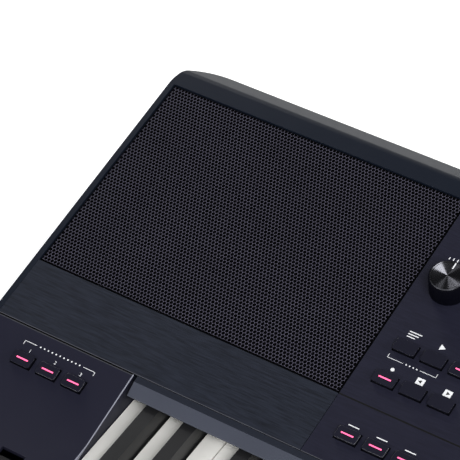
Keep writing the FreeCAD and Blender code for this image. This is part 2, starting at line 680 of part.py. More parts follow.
def speaker_grille(side):
    width = f"({GRILLE_WIDTH} - 4 * seat_gap)"
    sheet_plate = slab("0", "band_depth + seat_gap", "-grille_sink - grille_thickness", width,
                       "grille_depth - 2 * seat_gap", "grille_thickness")
    return on_panel(sheet_plate, f"{side}{SPEAKER_X} - {width} / 2")


BASKET_REAR = "(plate_thickness + driver_depth)"


def basket():
    """Flange under the cover, open cone and rear plate."""
    flange = "(plate_thickness + driver_flange)"
    rear_radius = "(voice_coil_radius + 4 * driver_wall)"
    return lathe([
        ("baffle_radius + 2 * driver_wall", "-plate_thickness"), ("driver_radius", "-plate_thickness"),
        ("driver_radius", f"-{flange}"), ("baffle_radius + 3 * driver_wall", f"-{flange}"),
        (rear_radius, f"-{BASKET_REAR} + driver_wall"), (rear_radius, f"-{BASKET_REAR}"),
        ("voice_coil_radius", f"-{BASKET_REAR}"), ("voice_coil_radius", f"-{BASKET_REAR} + driver_wall"),
        (f"{rear_radius} - driver_wall", f"-{BASKET_REAR} + driver_wall"),
        ("baffle_radius + 2 * driver_wall", f"-{flange}"),
    ])


def cone():
    """Paper cone with a rim that ends just inside the flange and a flat dust cap."""
    rim = "(baffle_radius + 2 * driver_wall - cone_gap)"
    top = "(plate_thickness + cone_gap)"
    deep = f"({top} + cone_depth)"
    return lathe([
        ("0", f"-{deep}"), ("voice_coil_radius", f"-{deep}"),
        (f"{rim} - 3 * driver_wall", f"-{top} - driver_wall / 2"),
        (rim, f"-{top} - driver_wall / 2"), (rim, f"-{top}"), (f"{rim} - 3 * driver_wall", f"-{top}"),
        ("voice_coil_radius", f"-{deep} + driver_wall"), ("0", f"-{deep} + driver_wall"),
    ])


def magnet():
    return lathe([
        ("0", f"-{BASKET_REAR} - magnet_height"), ("magnet_radius", f"-{BASKET_REAR} - magnet_height"),
        ("magnet_radius", f"-{BASKET_REAR}"), ("0", f"-{BASKET_REAR}"),
    ])


def speaker_pair(make):
    return compound(*[on_panel(make(), f"{side}{SPEAKER_X}", SPEAKER_ROW) for side in ("-", "+")])


# Control panel

def column(number):
    """X of a column of buttons, counted from the left of the control panel."""
    return f"({PANEL_LEFT} + first_column + {number} * {BUTTON_PITCH})"


POWER_ROW = f"({PLATE_LENGTH} - power_inset)"
DIAL_X = column(21)
SINGLE_BUTTONS = {
    "style_button": (column(0), "upper_row"),
    "song_button": (column(1), "upper_row"),
    "metronome_button": (column(2), "upper_row"),
    "tap_button": (column(0), "lower_row"),
    "tempo_down_button": (column(1), "lower_row"),
    "tempo_up_button": (column(2), "lower_row"),
    "power_button": (column(2), POWER_ROW),
}
STYLE_COLUMNS = [0, 1, 2, 4, 5, 6, 7, 9, 11, 12, 13, 15]
REGISTRATION_COLUMNS = [17, 18, 19, 20, 21, 22, 23, LAST_COLUMN]
MENU_COLUMNS = [4, 5, 6, 7, 8, 9, 10, 11, 12, 13, 14, 15]
VOICE_COLUMNS = [18, 19, 20, 21, 22, 23, LAST_COLUMN]
SIDE_X = column(16.5)
DISPLAY_WIDTH = f"(2 * ({SIDE_X} - side_offset))"
DISPLAY_DEPTH = f"({PLATE_LENGTH} - display_row - display_margin)"
SIDE_PITCH = f"(({DISPLAY_DEPTH} - 2 * side_margin) / {SIDE_COUNT - 1})"
SIDE_ROWS = [f"(display_row + side_margin + {index} * {SIDE_PITCH})" for index in range(SIDE_COUNT)]

BUTTON_ROWS = ("lower_row", "upper_row")


def row_of_buttons(numbers, row):
    return [(column(number), row) for number in numbers]


STRIPS = {
    "style_control_buttons": row_of_buttons(STYLE_COLUMNS, "strip_row"),
    "registration_buttons": row_of_buttons(REGISTRATION_COLUMNS, "strip_row"),
    "display_buttons": [place for row in BUTTON_ROWS for place in row_of_buttons(MENU_COLUMNS, row)]
    + [(f"({side}{SIDE_X})", row) for side in ("-", "+") for row in SIDE_ROWS],
    "voice_buttons": [place for row in BUTTON_ROWS for place in row_of_buttons(VOICE_COLUMNS, row)],
}


def carrier(numbers, row):
    """A carrier under a row, from its first column to its last."""
    return (column(numbers[0]), row, column(numbers[-1]), row)


# Carriers of each strip, from one point to another to its right or behind it
CARRIERS = {
    "style_control_buttons": [carrier(STYLE_COLUMNS, "strip_row")],
    "registration_buttons": [carrier(REGISTRATION_COLUMNS, "strip_row")],
    "display_buttons": [(column(MENU_COLUMNS[0]), row, SIDE_X, row) for row in BUTTON_ROWS]
    + [(f"({side}{SIDE_X})", "lower_row", f"({side}{SIDE_X})", SIDE_ROWS[-1]) for side in ("-", "+")],
    "voice_buttons": [carrier(VOICE_COLUMNS, row) for row in BUTTON_ROWS]
    + [(column(VOICE_COLUMNS[0]), "lower_row", column(VOICE_COLUMNS[0]), "upper_row")],
}

CARRIER_BOTTOM = "(plate_thickness + button_gap + flange_thickness)"
SWITCH_TOP = "(plate_thickness + switch_drop)"
STANDOFFS = [
    (f"({side}{x})", row)
    for side in ("-", "+")
    for x, row in ((f"(-{PANEL_LEFT} - 2 * switch_inset)", f"(upper_row + {BUTTON_PITCH})"),
                   (f"({SIDE_X} + side_offset)", POWER_ROW))
]


def control_panel():
    base = box(f"{PANEL_LEFT} + seat_gap", "seat_gap", "-plate_thickness",
               f"-2 * {PANEL_LEFT} - 2 * seat_gap", f"{PLATE_LENGTH} - seat_gap", "plate_thickness")
    feet = [
        rod("z", x, row, f"-{SWITCH_TOP}", "standoff_radius", f"switch_drop + {OVERCUT}")
        for x, row in STANDOFFS
    ]
    holes = []
    for x, row in list(SINGLE_BUTTONS.values()) + sum(STRIPS.values(), []):
        holes.append(plate(x, row, "-2 * plate_thickness", f"{BUTTON_WIDTH} + 2 * button_gap",
                           "button_depth + 2 * button_gap", "3 * plate_thickness"))
    for x, row in ((KNOB_X, "knob_row"), (DIAL_X, "dial_row")):
        holes.append(rod("z", x, row, "-2 * plate_thickness", "shaft_radius + 2 * button_gap",
                         "3 * plate_thickness"))
    holes.append(box(f"-{DISPLAY_WIDTH} / 2", "display_row", "-2 * plate_thickness", DISPLAY_WIDTH,
                     DISPLAY_DEPTH, "3 * plate_thickness"))
    return on_panel(cut(fuse(base, *feet), *holes))


def display_window():
    pane = slab("0", "display_row + seat_gap", "-plate_thickness", f"{DISPLAY_WIDTH} - 2 * seat_gap",
                f"{DISPLAY_DEPTH} - 2 * seat_gap", "plate_thickness")
    return on_panel(pane, f"seat_gap - {DISPLAY_WIDTH} / 2")


def lcd_module():
    module = slab("0", "display_row - display_border", "-plate_thickness - display_thickness",
                  f"{DISPLAY_WIDTH} + 2 * display_border", f"{DISPLAY_DEPTH} + 2 * display_border",
                  "display_thickness")
    return on_panel(module, f"-{DISPLAY_WIDTH} / 2 - display_border")


def switch_boards():
    inset = f"({PANEL_LEFT} + switch_inset)"
    low = f"-{SWITCH_TOP} - board_thickness"
    panel_board = slab("0", "switch_inset", low, f"-2 * {inset}", f"{PLATE_LENGTH} - 2 * switch_inset",
                       "board_thickness")
    assign_board = slab("0", "-assign_board_depth / 2", low, ASSIGN_BOARD_WIDTH, "assign_board_depth",
                        "board_thickness")
    return compound(on_panel(panel_board, inset),
                    on_block(assign_board, f"{ASSIGN_X[1]} - {ASSIGN_BOARD_WIDTH} / 2", "assign_row"))


def control_pots():
    """Potentiometer and encoder bodies, bored for the stems of knob and dial."""
    bodies = []
    for x, row in ((KNOB_X, "knob_row"), (DIAL_X, "dial_row")):
        body = plate("0", "0", f"-{SWITCH_TOP}", "pot_width", "pot_width", "switch_drop")
        bore = rod("z", "0", "0", "-plate_thickness - shaft_depth", "shaft_radius + shaft_clearance",
                   f"shaft_depth + {OVERCUT}")
        bodies.append(on_panel(cut(body, bore), x, row))
    return compound(*bodies)


def panel_button(width, depth, wall):
    """A cap with its flange under the wall that it passes through, and its plunger."""
    bottom = f"({wall} + button_gap + flange_thickness)"
    cap = plate("0", "0", f"-{bottom}", width, depth, f"{bottom} + button_rise")
    flange = plate("0", "0", f"-{bottom}", f"({width} + 2 * button_flange)", f"({depth} + 2 * button_flange)",
                   "flange_thickness")
    stem = plate("0", "0", f"-{SWITCH_TOP} + button_travel + button_gap", "stem_width", "stem_width",
                 f"{SWITCH_TOP} - {wall} - button_travel")
    return fuse(cap, flange, stem)


def button_strip(places, carriers):
    """Caps moulded on thin carriers under the panel."""
    pieces = []
    for x, row in places:
        pieces.append(plate(x, row, f"-{CARRIER_BOTTOM}", BUTTON_WIDTH, "button_depth",
                            f"{CARRIER_BOTTOM} + button_rise"))
    for left, front, right, back in carriers:
        pieces.append(box(f"{left} - stem_width / 2", f"{front} - stem_width / 2", f"-{CARRIER_BOTTOM}",
                          f"{right} - {left} + stem_width", f"{back} - {front} + stem_width",
                          "flange_thickness"))
    return on_panel(fuse(*pieces))


SHAFT_END = "(button_gap - plate_thickness - shaft_depth)"


def volume_knob():
    return lathe([
        ("0", SHAFT_END), ("shaft_radius", SHAFT_END), ("shaft_radius", "knob_lift"),
        ("knob_radius", "knob_lift"), ("knob_radius", "2 * knob_lift"),
        ("knob_top_radius", "knob_height - knob_lift"),
        ("knob_top_radius - knob_lift", "knob_height"), ("0", "knob_height"),
    ])


def data_dial():
    disc = lathe([
        ("0", SHAFT_END), ("shaft_radius", SHAFT_END), ("shaft_radius", "knob_lift"),
        ("dial_radius", "knob_lift"), ("dial_radius", "dial_height - knob_lift"),
        ("dial_radius - knob_lift", "dial_height"), ("0", "dial_height"),
    ])
    dimple = rod("z", "0", "dial_radius - dimple_radius - 2 * knob_lift", "dial_height - dimple_depth",
                 "dimple_radius", f"dimple_depth + {OVERCUT}")
    return cut(disc, dimple)


# Left end block: assignable buttons and wheels

ASSIGN_MIDDLE = f"(left_block_width / 2 + assign_shift - {HALF_WIDTH})"
ASSIGN_X = [f"({ASSIGN_MIDDLE} + {step} * assign_pitch)" for step in (-1, 0, 1)]
ASSIGN_BOARD_WIDTH = "(2 * assign_pitch + assign_width + 2 * assign_board_reach)"
STANDOFF_REACH = f"({ASSIGN_BOARD_WIDTH} / 2 - standoff_radius)"
STANDOFF_ROW = "(assign_board_depth / 2 - standoff_radius)"
ASSIGN_STANDOFFS = [f"({ASSIGN_X[1]} {side} {STANDOFF_REACH})" for side in ("-", "+")]
WHEEL_X = [f"(wheel_margin - {HALF_WIDTH} + {middle} * {WHEEL_PITCH})" for middle in (0.5, 1.5)]


def wheel(x):
    """A wheel with a finger notch on top and an axle stub on each side."""
    disc = rod("x", f"{x} - wheel_width / 2", WHEEL_Y, WHEEL_Z, "wheel_radius", "wheel_width")
    reach = f"({WHEEL_PITCH} / 2 - seat_gap)"
    axle = rod("x", f"{x} - {reach}", WHEEL_Y, WHEEL_Z, "axle_radius", f"2 * {reach}")
    notch = rod("x", f"{x} - wheel_width", WHEEL_Y, f"{WHEEL_Z} + wheel_radius + notch_radius - notch_depth",
                "notch_radius", "2 * wheel_width")
    return cut(fuse(disc, axle), notch)


def wheel_bracket():
    """Base plate on the floor with three uprights, bored for the axles."""
    first = f"({WHEEL_X[0]} - {WHEEL_PITCH} / 2 - upright_thickness / 2)"
    base = box(first, f"{WHEEL_Y} - upright_width / 2", FLOOR_TOP, f"2 * {WHEEL_PITCH} + upright_thickness",
               "upright_width", "bracket_base")
    uprights = [
        box(f"{first} + {index} * {WHEEL_PITCH}", f"{WHEEL_Y} - upright_width / 2", FLOOR_TOP,
            "upright_thickness", "upright_width", f"{WHEEL_Z} + 2 * axle_radius - {FLOOR_TOP}")
        for index in range(3)
    ]
    bore = rod("x", f"{first} - {OVERCUT}", WHEEL_Y, WHEEL_Z, "axle_radius + shaft_clearance",
               f"2 * {WHEEL_PITCH} + upright_thickness + 2 * {OVERCUT}")
    return cut(fuse(base, *uprights), bore)


# Keybed

def key_chassis():
    """Plate under the keys with hinge posts at the octave ends, bored for the rods."""
    start = f"({KEY_FRONT} + chassis_inset)"
    base = box(KEYS_LEFT, start, CHASSIS_BASE, f"{KEYS_RIGHT} - {KEYS_LEFT}",
               f"{HINGE_Y} + post_depth / 2 - {start}", "chassis_thickness")
    top = f"({HINGE_Z} + 2 * hinge_pitch + post_depth / 2)"
    ends = [f"({KEYS_LEFT} + {index} * {OCTAVE})" for index in range(OCTAVES)] + [KEYS_RIGHT]
    posts = [
        box(f"{x} - post_thickness / 2", f"{HINGE_Y} - post_depth / 2", CHASSIS_BASE, "post_thickness",
            "post_depth", f"{top} - {CHASSIS_BASE}")
        for x in ends
    ]
    bores = [
        rod("x", f"{KEYS_LEFT} - post_thickness", HINGE_Y, f"{HINGE_Z} + {level} * hinge_pitch",
            "hinge_radius + hinge_clearance", f"{KEYS_RIGHT} - {KEYS_LEFT} + 2 * post_thickness")
        for level in range(3)
    ]
    return cut(fuse(base, *posts), *bores)


STRIP_WIDTH = f"({KEYS_RIGHT} - {KEYS_LEFT} - 2 * key_gap)"


def chassis_strip(y, width, height):
    """A strip on the chassis, as long as the keybed."""
    return slab(f"{KEYS_LEFT} + key_gap", y, CHASSIS_TOP, STRIP_WIDTH, width, height)


def key_felts():
    return chassis_strip(f"{KEY_FRONT} + felt_setback", "felt_width", "felt_thickness")


def key_contact_board():
    return chassis_strip(CONTACT_Y, "contact_width", "board_thickness")


def key_contact_rubber():
    """A rubber sheet with one dome for each key."""
    body = doc.addObject("PartDesign::Body", "Rubber")
    half = "(rubber_width / 2)"
    sheet_pad = body.newObject("PartDesign::Pad", "Sheet")
    corners = [("0", f"-{half}"), (STRIP_WIDTH, f"-{half}"), (STRIP_WIDTH, half), ("0", half)]
    sheet_pad.Profile = body_sketch(body, "XY_Plane", corners)
    bind(sheet_pad, Length="rubber_thickness")
    circle = body.newObject("Sketcher::SketchObject", "DomeCircle")
    support = next(item for item in body.Origin.OriginFeatures if item.Role == "XY_Plane")
    circle.AttachmentSupport = [(support, "")]
    circle.MapMode = "FlatFace"
    step = f"({STRIP_WIDTH} / {DOMES})"
    circle.addGeometry(Part.Circle(Vector(value(f"{step} / 2"), 0, 0), Vector(0, 0, 1), value("dome_radius")))
    for kind, text in (("Radius", "dome_radius"), ("DistanceX", f"{step} / 2")):
        places = (0,) if kind == "Radius" else (-1, 1, 0, 3)
        number = circle.addConstraint(Sketcher.Constraint(kind, *places, value(text)))
        circle.setExpression(f"Constraints[{number}]", formula(text))
    circle.addConstraint(Sketcher.Constraint("PointOnObject", 0, 3, -1))
    dome = body.newObject("PartDesign::Pad", "Dome")
    dome.Profile = circle
    bind(dome, Length="rubber_thickness + dome_height")
    row = body.newObject("PartDesign::LinearPattern", "Domes")
    row.Originals = [dome]
    row.Direction = (circle, ["H_Axis"])
    row.Occurrences = DOMES
    bind(row, Length=f"{step} * {DOMES - 1}")
    body.Tip = row
    y = f"{CONTACT_Y} + contact_width / 2"
    return place(body, f"{KEYS_LEFT} + key_gap", y, f"{CHASSIS_TOP} + board_thickness")


# Keys: the tails share the room that the black keys leave, in a group of three and a group of four

TAIL_OF_THREE = f"((3 * {PITCH} - 2 * black_slot) / 3)"
TAIL_OF_FOUR = f"((4 * {PITCH} - 3 * black_slot) / 4)"


def tail_start(index):
    """Left edge of a white key's tail, from the start of its octave."""
    if index < 3:
        return f"({index} * ({TAIL_OF_THREE} + black_slot))"
    return f"(3 * {PITCH} + {index - 3} * ({TAIL_OF_FOUR} + black_slot))"


def tail_width(index):
    return TAIL_OF_THREE if index < 3 else TAIL_OF_FOUR


def arm_to_rod(x, level):
    """Arm from the rear wall of a key to its hinge rod, centred on x."""
    z = f"{HINGE_Z} + {level} * hinge_pitch - arm_thickness / 2"
    return box(f"{x} - arm_width / 2", f"{KEY_TAIL} - key_wall / 2", z, "arm_width",
               "hinge_offset + key_wall / 2", "arm_thickness")


def white_key(octave_start, index, level, last=False):
    """Solids and hollows of a white key: a wide head and a tail between the black keys."""
    head = f"({octave_start} + {index} * {PITCH} + key_gap / 2)"
    head_width = f"({PITCH} - key_gap)"
    tail = head if last else f"({octave_start} + {tail_start(index)} + key_gap / 2)"
    width = head_width if last else f"({tail_width(index)} - key_gap)"
    tail_length = f"({KEY_TAIL} - {HEAD_END})"
    solids = [
        box(head, KEY_FRONT, KEY_BOTTOM, head_width, "white_head", "white_height"),
        box(tail, f"{HEAD_END} - key_wall", KEY_BOTTOM, width, f"{tail_length} + key_wall", "white_height"),
        arm_to_rod(f"({tail} + {width} / 2)", level),
    ]
    low = f"({KEY_BOTTOM} - {OVERCUT})"
    high = f"({WHITE_TOP} - key_wall - {low})"
    hollows = [
        box(f"{head} + key_wall", f"{KEY_FRONT} + key_wall", low, f"{head_width} - 2 * key_wall",
            "white_head - 2 * key_wall", high),
        box(f"{tail} + key_wall", f"{HEAD_END} - 2 * key_wall", low, f"{width} - 2 * key_wall",
            f"{tail_length} + key_wall", high),
    ]
    return solids, hollows


def black_key(octave_start, index, level):
    """Solids and hollow of a black key to the right of a white key's tail."""
    left = f"({octave_start} + {tail_start(index)} + {tail_width(index)} + (black_slot - black_width) / 2)"
    front = f"({HEAD_END} + key_gap)"
    length = f"({KEY_TAIL} - {front})"
    cap_length = f"({SEAM_Y} - {front})"
    low = f"({KEY_BOTTOM} - {OVERCUT})"
    cap = doc.addObject("Part::Wedge", "BlackCap")
    cap.Placement = Placement(Vector(), Rotation(Vector(1, 0, 0), 90))
    bind(cap, Xmin=0, Xmax="black_width", X2min="(black_width - black_top_width) / 2",
         X2max="(black_width + black_top_width) / 2", Ymin=0, Ymax="black_rise", Zmin=0, Zmax=cap_length,
         Z2min=0, Z2max=f"{cap_length} - black_front_slope")
    place(cap, left, SEAM_Y, WHITE_TOP)
    solids = [
        box(left, front, KEY_BOTTOM, "black_width", length, "white_height"),
        cap,
        arm_to_rod(f"({left} + black_width / 2)", level),
    ]
    inner_width = "(black_width - 2 * key_wall)"
    inner_front = f"({front} + black_front_slope + key_wall)"
    hollows = [
        box(f"{left} + key_wall", inner_front, low, inner_width, f"{KEY_TAIL} - key_wall - {inner_front}",
            f"{WHITE_TOP} - key_wall - {low}"),
        box(f"{left} + key_wall", inner_front, low, inner_width, f"{SEAM_Y} - key_wall - {inner_front}",
            f"{WHITE_TOP} + black_rise / 2 - {low}"),
    ]
    return solids, hollows


def key_comb(octave, level, keys):
    """Keys moulded together on one hinge rod."""
    start = f"({KEYS_LEFT} + {octave} * {OCTAVE})"
    end = KEYS_RIGHT if octave == OCTAVES - 1 else f"({start} + {OCTAVE})"
    hinge = rod("x", f"{start} + rod_end_gap / 2", HINGE_Y, f"{HINGE_Z} + {level} * hinge_pitch",
                "hinge_radius", f"{end} - {start} - rod_end_gap")
    solids = [hinge]
    hollows = []
    for make, index in keys:
        more_solids, more_hollows = make(start, index, level)
        solids += more_solids
        hollows += more_hollows
    return cut(fuse(*solids), *hollows)


def high_c(octave_start, index, level):
    return white_key(octave_start, index, level, last=True)


def key_combs():
    for octave in range(OCTAVES):
        outer = [(white_key, index) for index in (0, 2, 4, 6)]
        if octave == OCTAVES - 1:
            outer.append((high_c, WHITES_PER_OCTAVE))
        inner = [(white_key, index) for index in (1, 3, 5)]
        black = [(black_key, index) for index in (0, 1, 3, 4, 5)]
        node(f"outer_white_keys_{octave + 1}", key_comb(octave, 2, outer))
        node(f"inner_white_keys_{octave + 1}", key_comb(octave, 1, inner))
        node(f"black_keys_{octave + 1}", key_comb(octave, 0, black))


# Circuit boards

MAIN_BOARD_Y = f"({BOARD_REAR} - main_board_depth)"
AMP_BOARD_Y = f"({BOARD_REAR} - amp_board_depth)"
MAIN_BOARD = ("-main_board_left", MAIN_BOARD_Y, "main_board_width", "main_board_depth")
AMP_BOARD_X = "(main_board_width - main_board_left + board_gap)"
AMP_BOARD = (AMP_BOARD_X, AMP_BOARD_Y, "amp_board_width", "amp_board_depth")


def board_standoffs():
    """One standoff near each corner of both boards."""
    inset = "(2 * standoff_radius)"
    places = []
    for x, y, width, depth in (MAIN_BOARD, AMP_BOARD):
        for right in (0, 1):
            for rear in (0, 1):
                places.append((f"({x} + {inset} + {right} * ({width} - 2 * {inset}))",
                               f"({y} + {inset} + {rear} * ({depth} - 2 * {inset}))"))
    return places


def main_board():
    x, y, width, depth = MAIN_BOARD
    pieces = [box(x, y, BOARD_Z, width, depth, "board_thickness")]
    for across, along, size in ((0.3, 0.5, 0.12), (0.55, 0.55, 0.1), (0.75, 0.35, 0.08)):
        pieces.append(plate(f"{x} + {across} * {width}", f"{y} + {along} * {depth}", BOARD_Z,
                            f"{size} * {width}", f"{size} * {width}", "board_thickness + chip_height"))
    return fuse(*pieces)


def amp_board():
    x, y, width, depth = AMP_BOARD
    top = f"({BOARD_Z} + board_thickness)"
    pieces = [box(x, y, BOARD_Z, width, depth, "board_thickness")]
    base = f"{y} + {depth} / 4"
    pieces.append(box(f"{x} + {width} / 4", base, f"{top} - board_thickness", f"{width} / 2", f"{depth} / 2",
                      "board_thickness + fin_thickness"))
    for index in range(5):
        pieces.append(box(f"{x} + {width} / 4", f"{base} + {index} * fin_pitch",
                          f"{top} - board_thickness / 2", f"{width} / 2", "fin_thickness", "fin_height"))
    return fuse(*pieces)


# The assembly

node("bottom_case", bottom_case())
node("top_case", top_case())
node("left_end_block", left_end_block())
node("right_end_block", right_end_block())
node("fall_rail", fall_rail())
node("rubber_feet", rubber_feet())
node("case_screws", case_screws())
node("left_speaker_cover", speaker_cover("-"))
node("right_speaker_cover", speaker_cover("+"))
node("left_speaker_grille", speaker_grille("-"))
node("right_speaker_grille", speaker_grille("+"))
node("speaker_baskets", speaker_pair(basket))
node("speaker_cones", speaker_pair(cone))
node("speaker_magnets", speaker_pair(magnet))
node("control_panel", control_panel())
node("display_window", display_window())
node("lcd_module", lcd_module())
node("switch_boards", switch_boards())
node("control_pots", control_pots())
node("master_volume_knob", on_panel(volume_knob(), KNOB_X, "knob_row"))
node("data_dial", on_panel(data_dial(), DIAL_X, "dial_row"))
for name, (x, row) in SINGLE_BUTTONS.items():
    node(name, on_panel(panel_button(BUTTON_WIDTH, "button_depth", "plate_thickness"), x, row))
for name, places in STRIPS.items():
    node(name, button_strip(places, CARRIERS[name]))
for number, x in enumerate(ASSIGN_X, 1):
    button = panel_button("assign_width", "assign_depth", "block_wall")
    node(f"assignable_button_{number}", on_block(button, x, "assign_row"))
node("pitch_bend_wheel", wheel(WHEEL_X[0]))
node("modulation_wheel", wheel(WHEEL_X[1]))
node("wheel_bracket", wheel_bracket())
node("key_chassis", key_chassis())
node("key_felts", key_felts())
node("key_contact_board", key_contact_board())
node("key_contact_rubber", key_contact_rubber())
key_combs()
node("main_board", main_board())
node("amp_board", amp_board())
node("rear_jacks", rear_jacks())

doc.recompute()
failed = [item.Label for item in doc.Objects if {"Invalid", "Error"} & set(item.State)]
failed += [name for name, item in NODES.items() if item.Shape.isNull() or not item.Shape.isValid()]
if failed:
    raise RuntimeError("failed: " + ", ".join(failed))

os.makedirs("parts", exist_ok=True)
for name, item in NODES.items():
    item.Shape.exportStep(f"parts/{name}.step")
    print(name, len(item.Shape.Solids), round(item.Shape.Volume / 1000, 1), "cm3")
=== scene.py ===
"""Looks of an arranger keyboard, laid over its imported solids."""

import json
from math import atan2, ceil, floor, pi, radians, sqrt

import bmesh
import bpy
from bpy.props import FloatProperty, FloatVectorProperty, PointerProperty
from bpy.types import Operator, Panel, PropertyGroup
from mathutils import Euler, Matrix, Vector


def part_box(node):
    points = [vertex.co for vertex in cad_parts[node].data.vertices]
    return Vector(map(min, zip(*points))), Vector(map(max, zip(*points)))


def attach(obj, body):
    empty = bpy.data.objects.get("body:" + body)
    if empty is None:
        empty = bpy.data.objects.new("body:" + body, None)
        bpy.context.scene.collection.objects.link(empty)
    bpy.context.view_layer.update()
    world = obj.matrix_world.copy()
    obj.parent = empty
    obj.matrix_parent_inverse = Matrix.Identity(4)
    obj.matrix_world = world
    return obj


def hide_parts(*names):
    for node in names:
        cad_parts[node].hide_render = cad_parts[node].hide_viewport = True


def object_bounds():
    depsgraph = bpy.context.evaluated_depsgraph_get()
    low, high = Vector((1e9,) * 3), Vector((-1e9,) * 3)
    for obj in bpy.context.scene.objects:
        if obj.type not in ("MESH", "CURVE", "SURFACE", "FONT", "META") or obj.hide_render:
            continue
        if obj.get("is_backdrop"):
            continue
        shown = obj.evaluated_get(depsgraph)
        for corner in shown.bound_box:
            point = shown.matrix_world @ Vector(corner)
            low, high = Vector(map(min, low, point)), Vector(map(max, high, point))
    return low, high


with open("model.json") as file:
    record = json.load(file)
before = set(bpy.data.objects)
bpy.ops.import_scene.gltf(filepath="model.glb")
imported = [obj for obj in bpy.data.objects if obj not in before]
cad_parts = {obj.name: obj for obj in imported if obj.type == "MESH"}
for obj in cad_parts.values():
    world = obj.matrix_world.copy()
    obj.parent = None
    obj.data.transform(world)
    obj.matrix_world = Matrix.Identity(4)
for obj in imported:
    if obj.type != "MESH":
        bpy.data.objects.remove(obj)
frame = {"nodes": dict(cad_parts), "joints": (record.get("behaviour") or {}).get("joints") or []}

bl_info = {
    "name": "Arranger Keyboard",
    "version": (1, 0, 0),
    "blender": (4, 5, 0),
    "location": "View3D > Sidebar > Keyboard",
    "description": "Finishes the pieces of an arranger keyboard and sets its stage",
    "category": "Object",
}

CAD_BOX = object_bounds()
NODES = frame["nodes"]
MM = 0.001
# Lengths that differ by less count as equal
TINY = 0.05 * MM
# Points of a CAD mesh that lie closer become one
MERGE = 0.01 * MM
# Height of the print over a face
PROUD = 0.03 * MM


def slope_frame(joint):
    """Gives a sloping face's frame: origin on the seam, Y up the slope, Z off the face."""
    axis = next(row["axis"] for row in frame["joints"] if row["name"] == joint)
    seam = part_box("fall_rail")[1]
    return Matrix.Translation((0, seam.y, seam.z)) @ Matrix.Rotation(atan2(axis[1], -axis[2]), 4, "X")


def at(face, across, along, height=0):
    """Gives the frame of a face moved along its own axes."""
    return face @ Matrix.Translation((across, along, height))


# Frames of the control panel, the end blocks and the rear wall
PANEL = slope_frame("style_button_press")
BLOCK = slope_frame("assignable_button_1_press")
REAR = (Matrix.Translation((0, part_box("bottom_case")[1].y, 0)) @ Matrix.Rotation(pi, 4, "Z")
        @ Matrix.Rotation(pi / 2, 4, "X"))

# Places of the sockets along the rear wall, and the height of their row
SOCKETS = (60 * MM, 92 * MM, 124 * MM, 156 * MM, 188 * MM)
SOCKET_ROW = 72 * MM
GRILLES = ("left_speaker_grille", "right_speaker_grille")
COVERS = ("left_speaker_cover", "right_speaker_cover")
BLOCKS = ("left_end_block", "right_end_block")
ASSIGN = ("assignable_button_1", "assignable_button_2", "assignable_button_3")
SINGLES = ("style_button", "song_button", "metronome_button", "tap_button", "tempo_down_button",
           "tempo_up_button", "power_button")
STRIPS = ("style_control_buttons", "registration_buttons", "display_buttons", "voice_buttons")
WHEELS = ("pitch_bend_wheel", "modulation_wheel")
OCTAVES = range(1, 6)
WHITE_KEYS = tuple(f"{row}_white_keys_{octave}" for octave in OCTAVES for row in ("outer", "inner"))
BLACK_KEYS = tuple(f"black_keys_{octave}" for octave in OCTAVES)


def length(name, description, default):
    """Gives a property for a length in millimetres."""
    return FloatProperty(name=name, description=description, default=default * MM, min=0,
                         precision=5, subtype="DISTANCE", unit="LENGTH")


def colour(name, description, default):
    """Gives a property for a linear colour."""
    return FloatVectorProperty(name=name, description=description, default=(*default, 1), size=4,
                               min=0, max=1, subtype="COLOR")


def power(name, description, default):
    """Gives a property for a light's power in watts."""
    return FloatProperty(name=name, description=description, default=default, min=0,
                         subtype="POWER", unit="POWER")


def brightness(name, description, default):
    """Gives a property for the brightness of something that glows."""
    return FloatProperty(name=name, description=description, default=default, min=0)


class KeyboardSizes(PropertyGroup):
    """Sizes of the finished pieces"""

    case_edge: length("Case edge", "Rounding of the case's edges", 0.7)
    crease: length("Crease", "Width of the soft crease along the rear of the top", 8.0)
    plate_edge: length("Plate edge", "Rounding of the top plates' edges", 0.6)
    cover_edge: length("Cover edge", "Rounding of the speaker covers, whose rims are thin", 0.06)
    button_edge: length("Button edge", "Rounding of the button caps' rims", 0.6)
    button_corner: length("Button corner", "Rounding of the button caps' corners", 1.5)
    key_edge: length("Key edge", "Rounding of the keys", 0.7)
    hole_pitch: length("Hole pitch", "Distance between the holes of a row in the grille", 2.54)
    row_pitch: length("Row pitch", "Distance between the rows of holes", 2.52)
    hole_width: length("Hole width", "Width of a hole in the grille", 2.44)
    grille_gap: length("Grille gap", "Shadow gap round the grilles", 1.0)
    front_gap: length("Front gap", "Added width of the shadow gap in front of the grilles", 0.7)
    lamp_length: length("Lamp length", "Length of a button's lamp", 8.8)
    lamp_width: length("Lamp width", "Width of a button's lamp", 0.98)
    ink_width: length("Line width", "Width of the printed lines", 0.34)
    numeral: length("Numeral height", "Height of the printed numbers", 2.5)
    ring_width: length("Socket ring", "Outer radius of the rings round the sockets", 5.6)


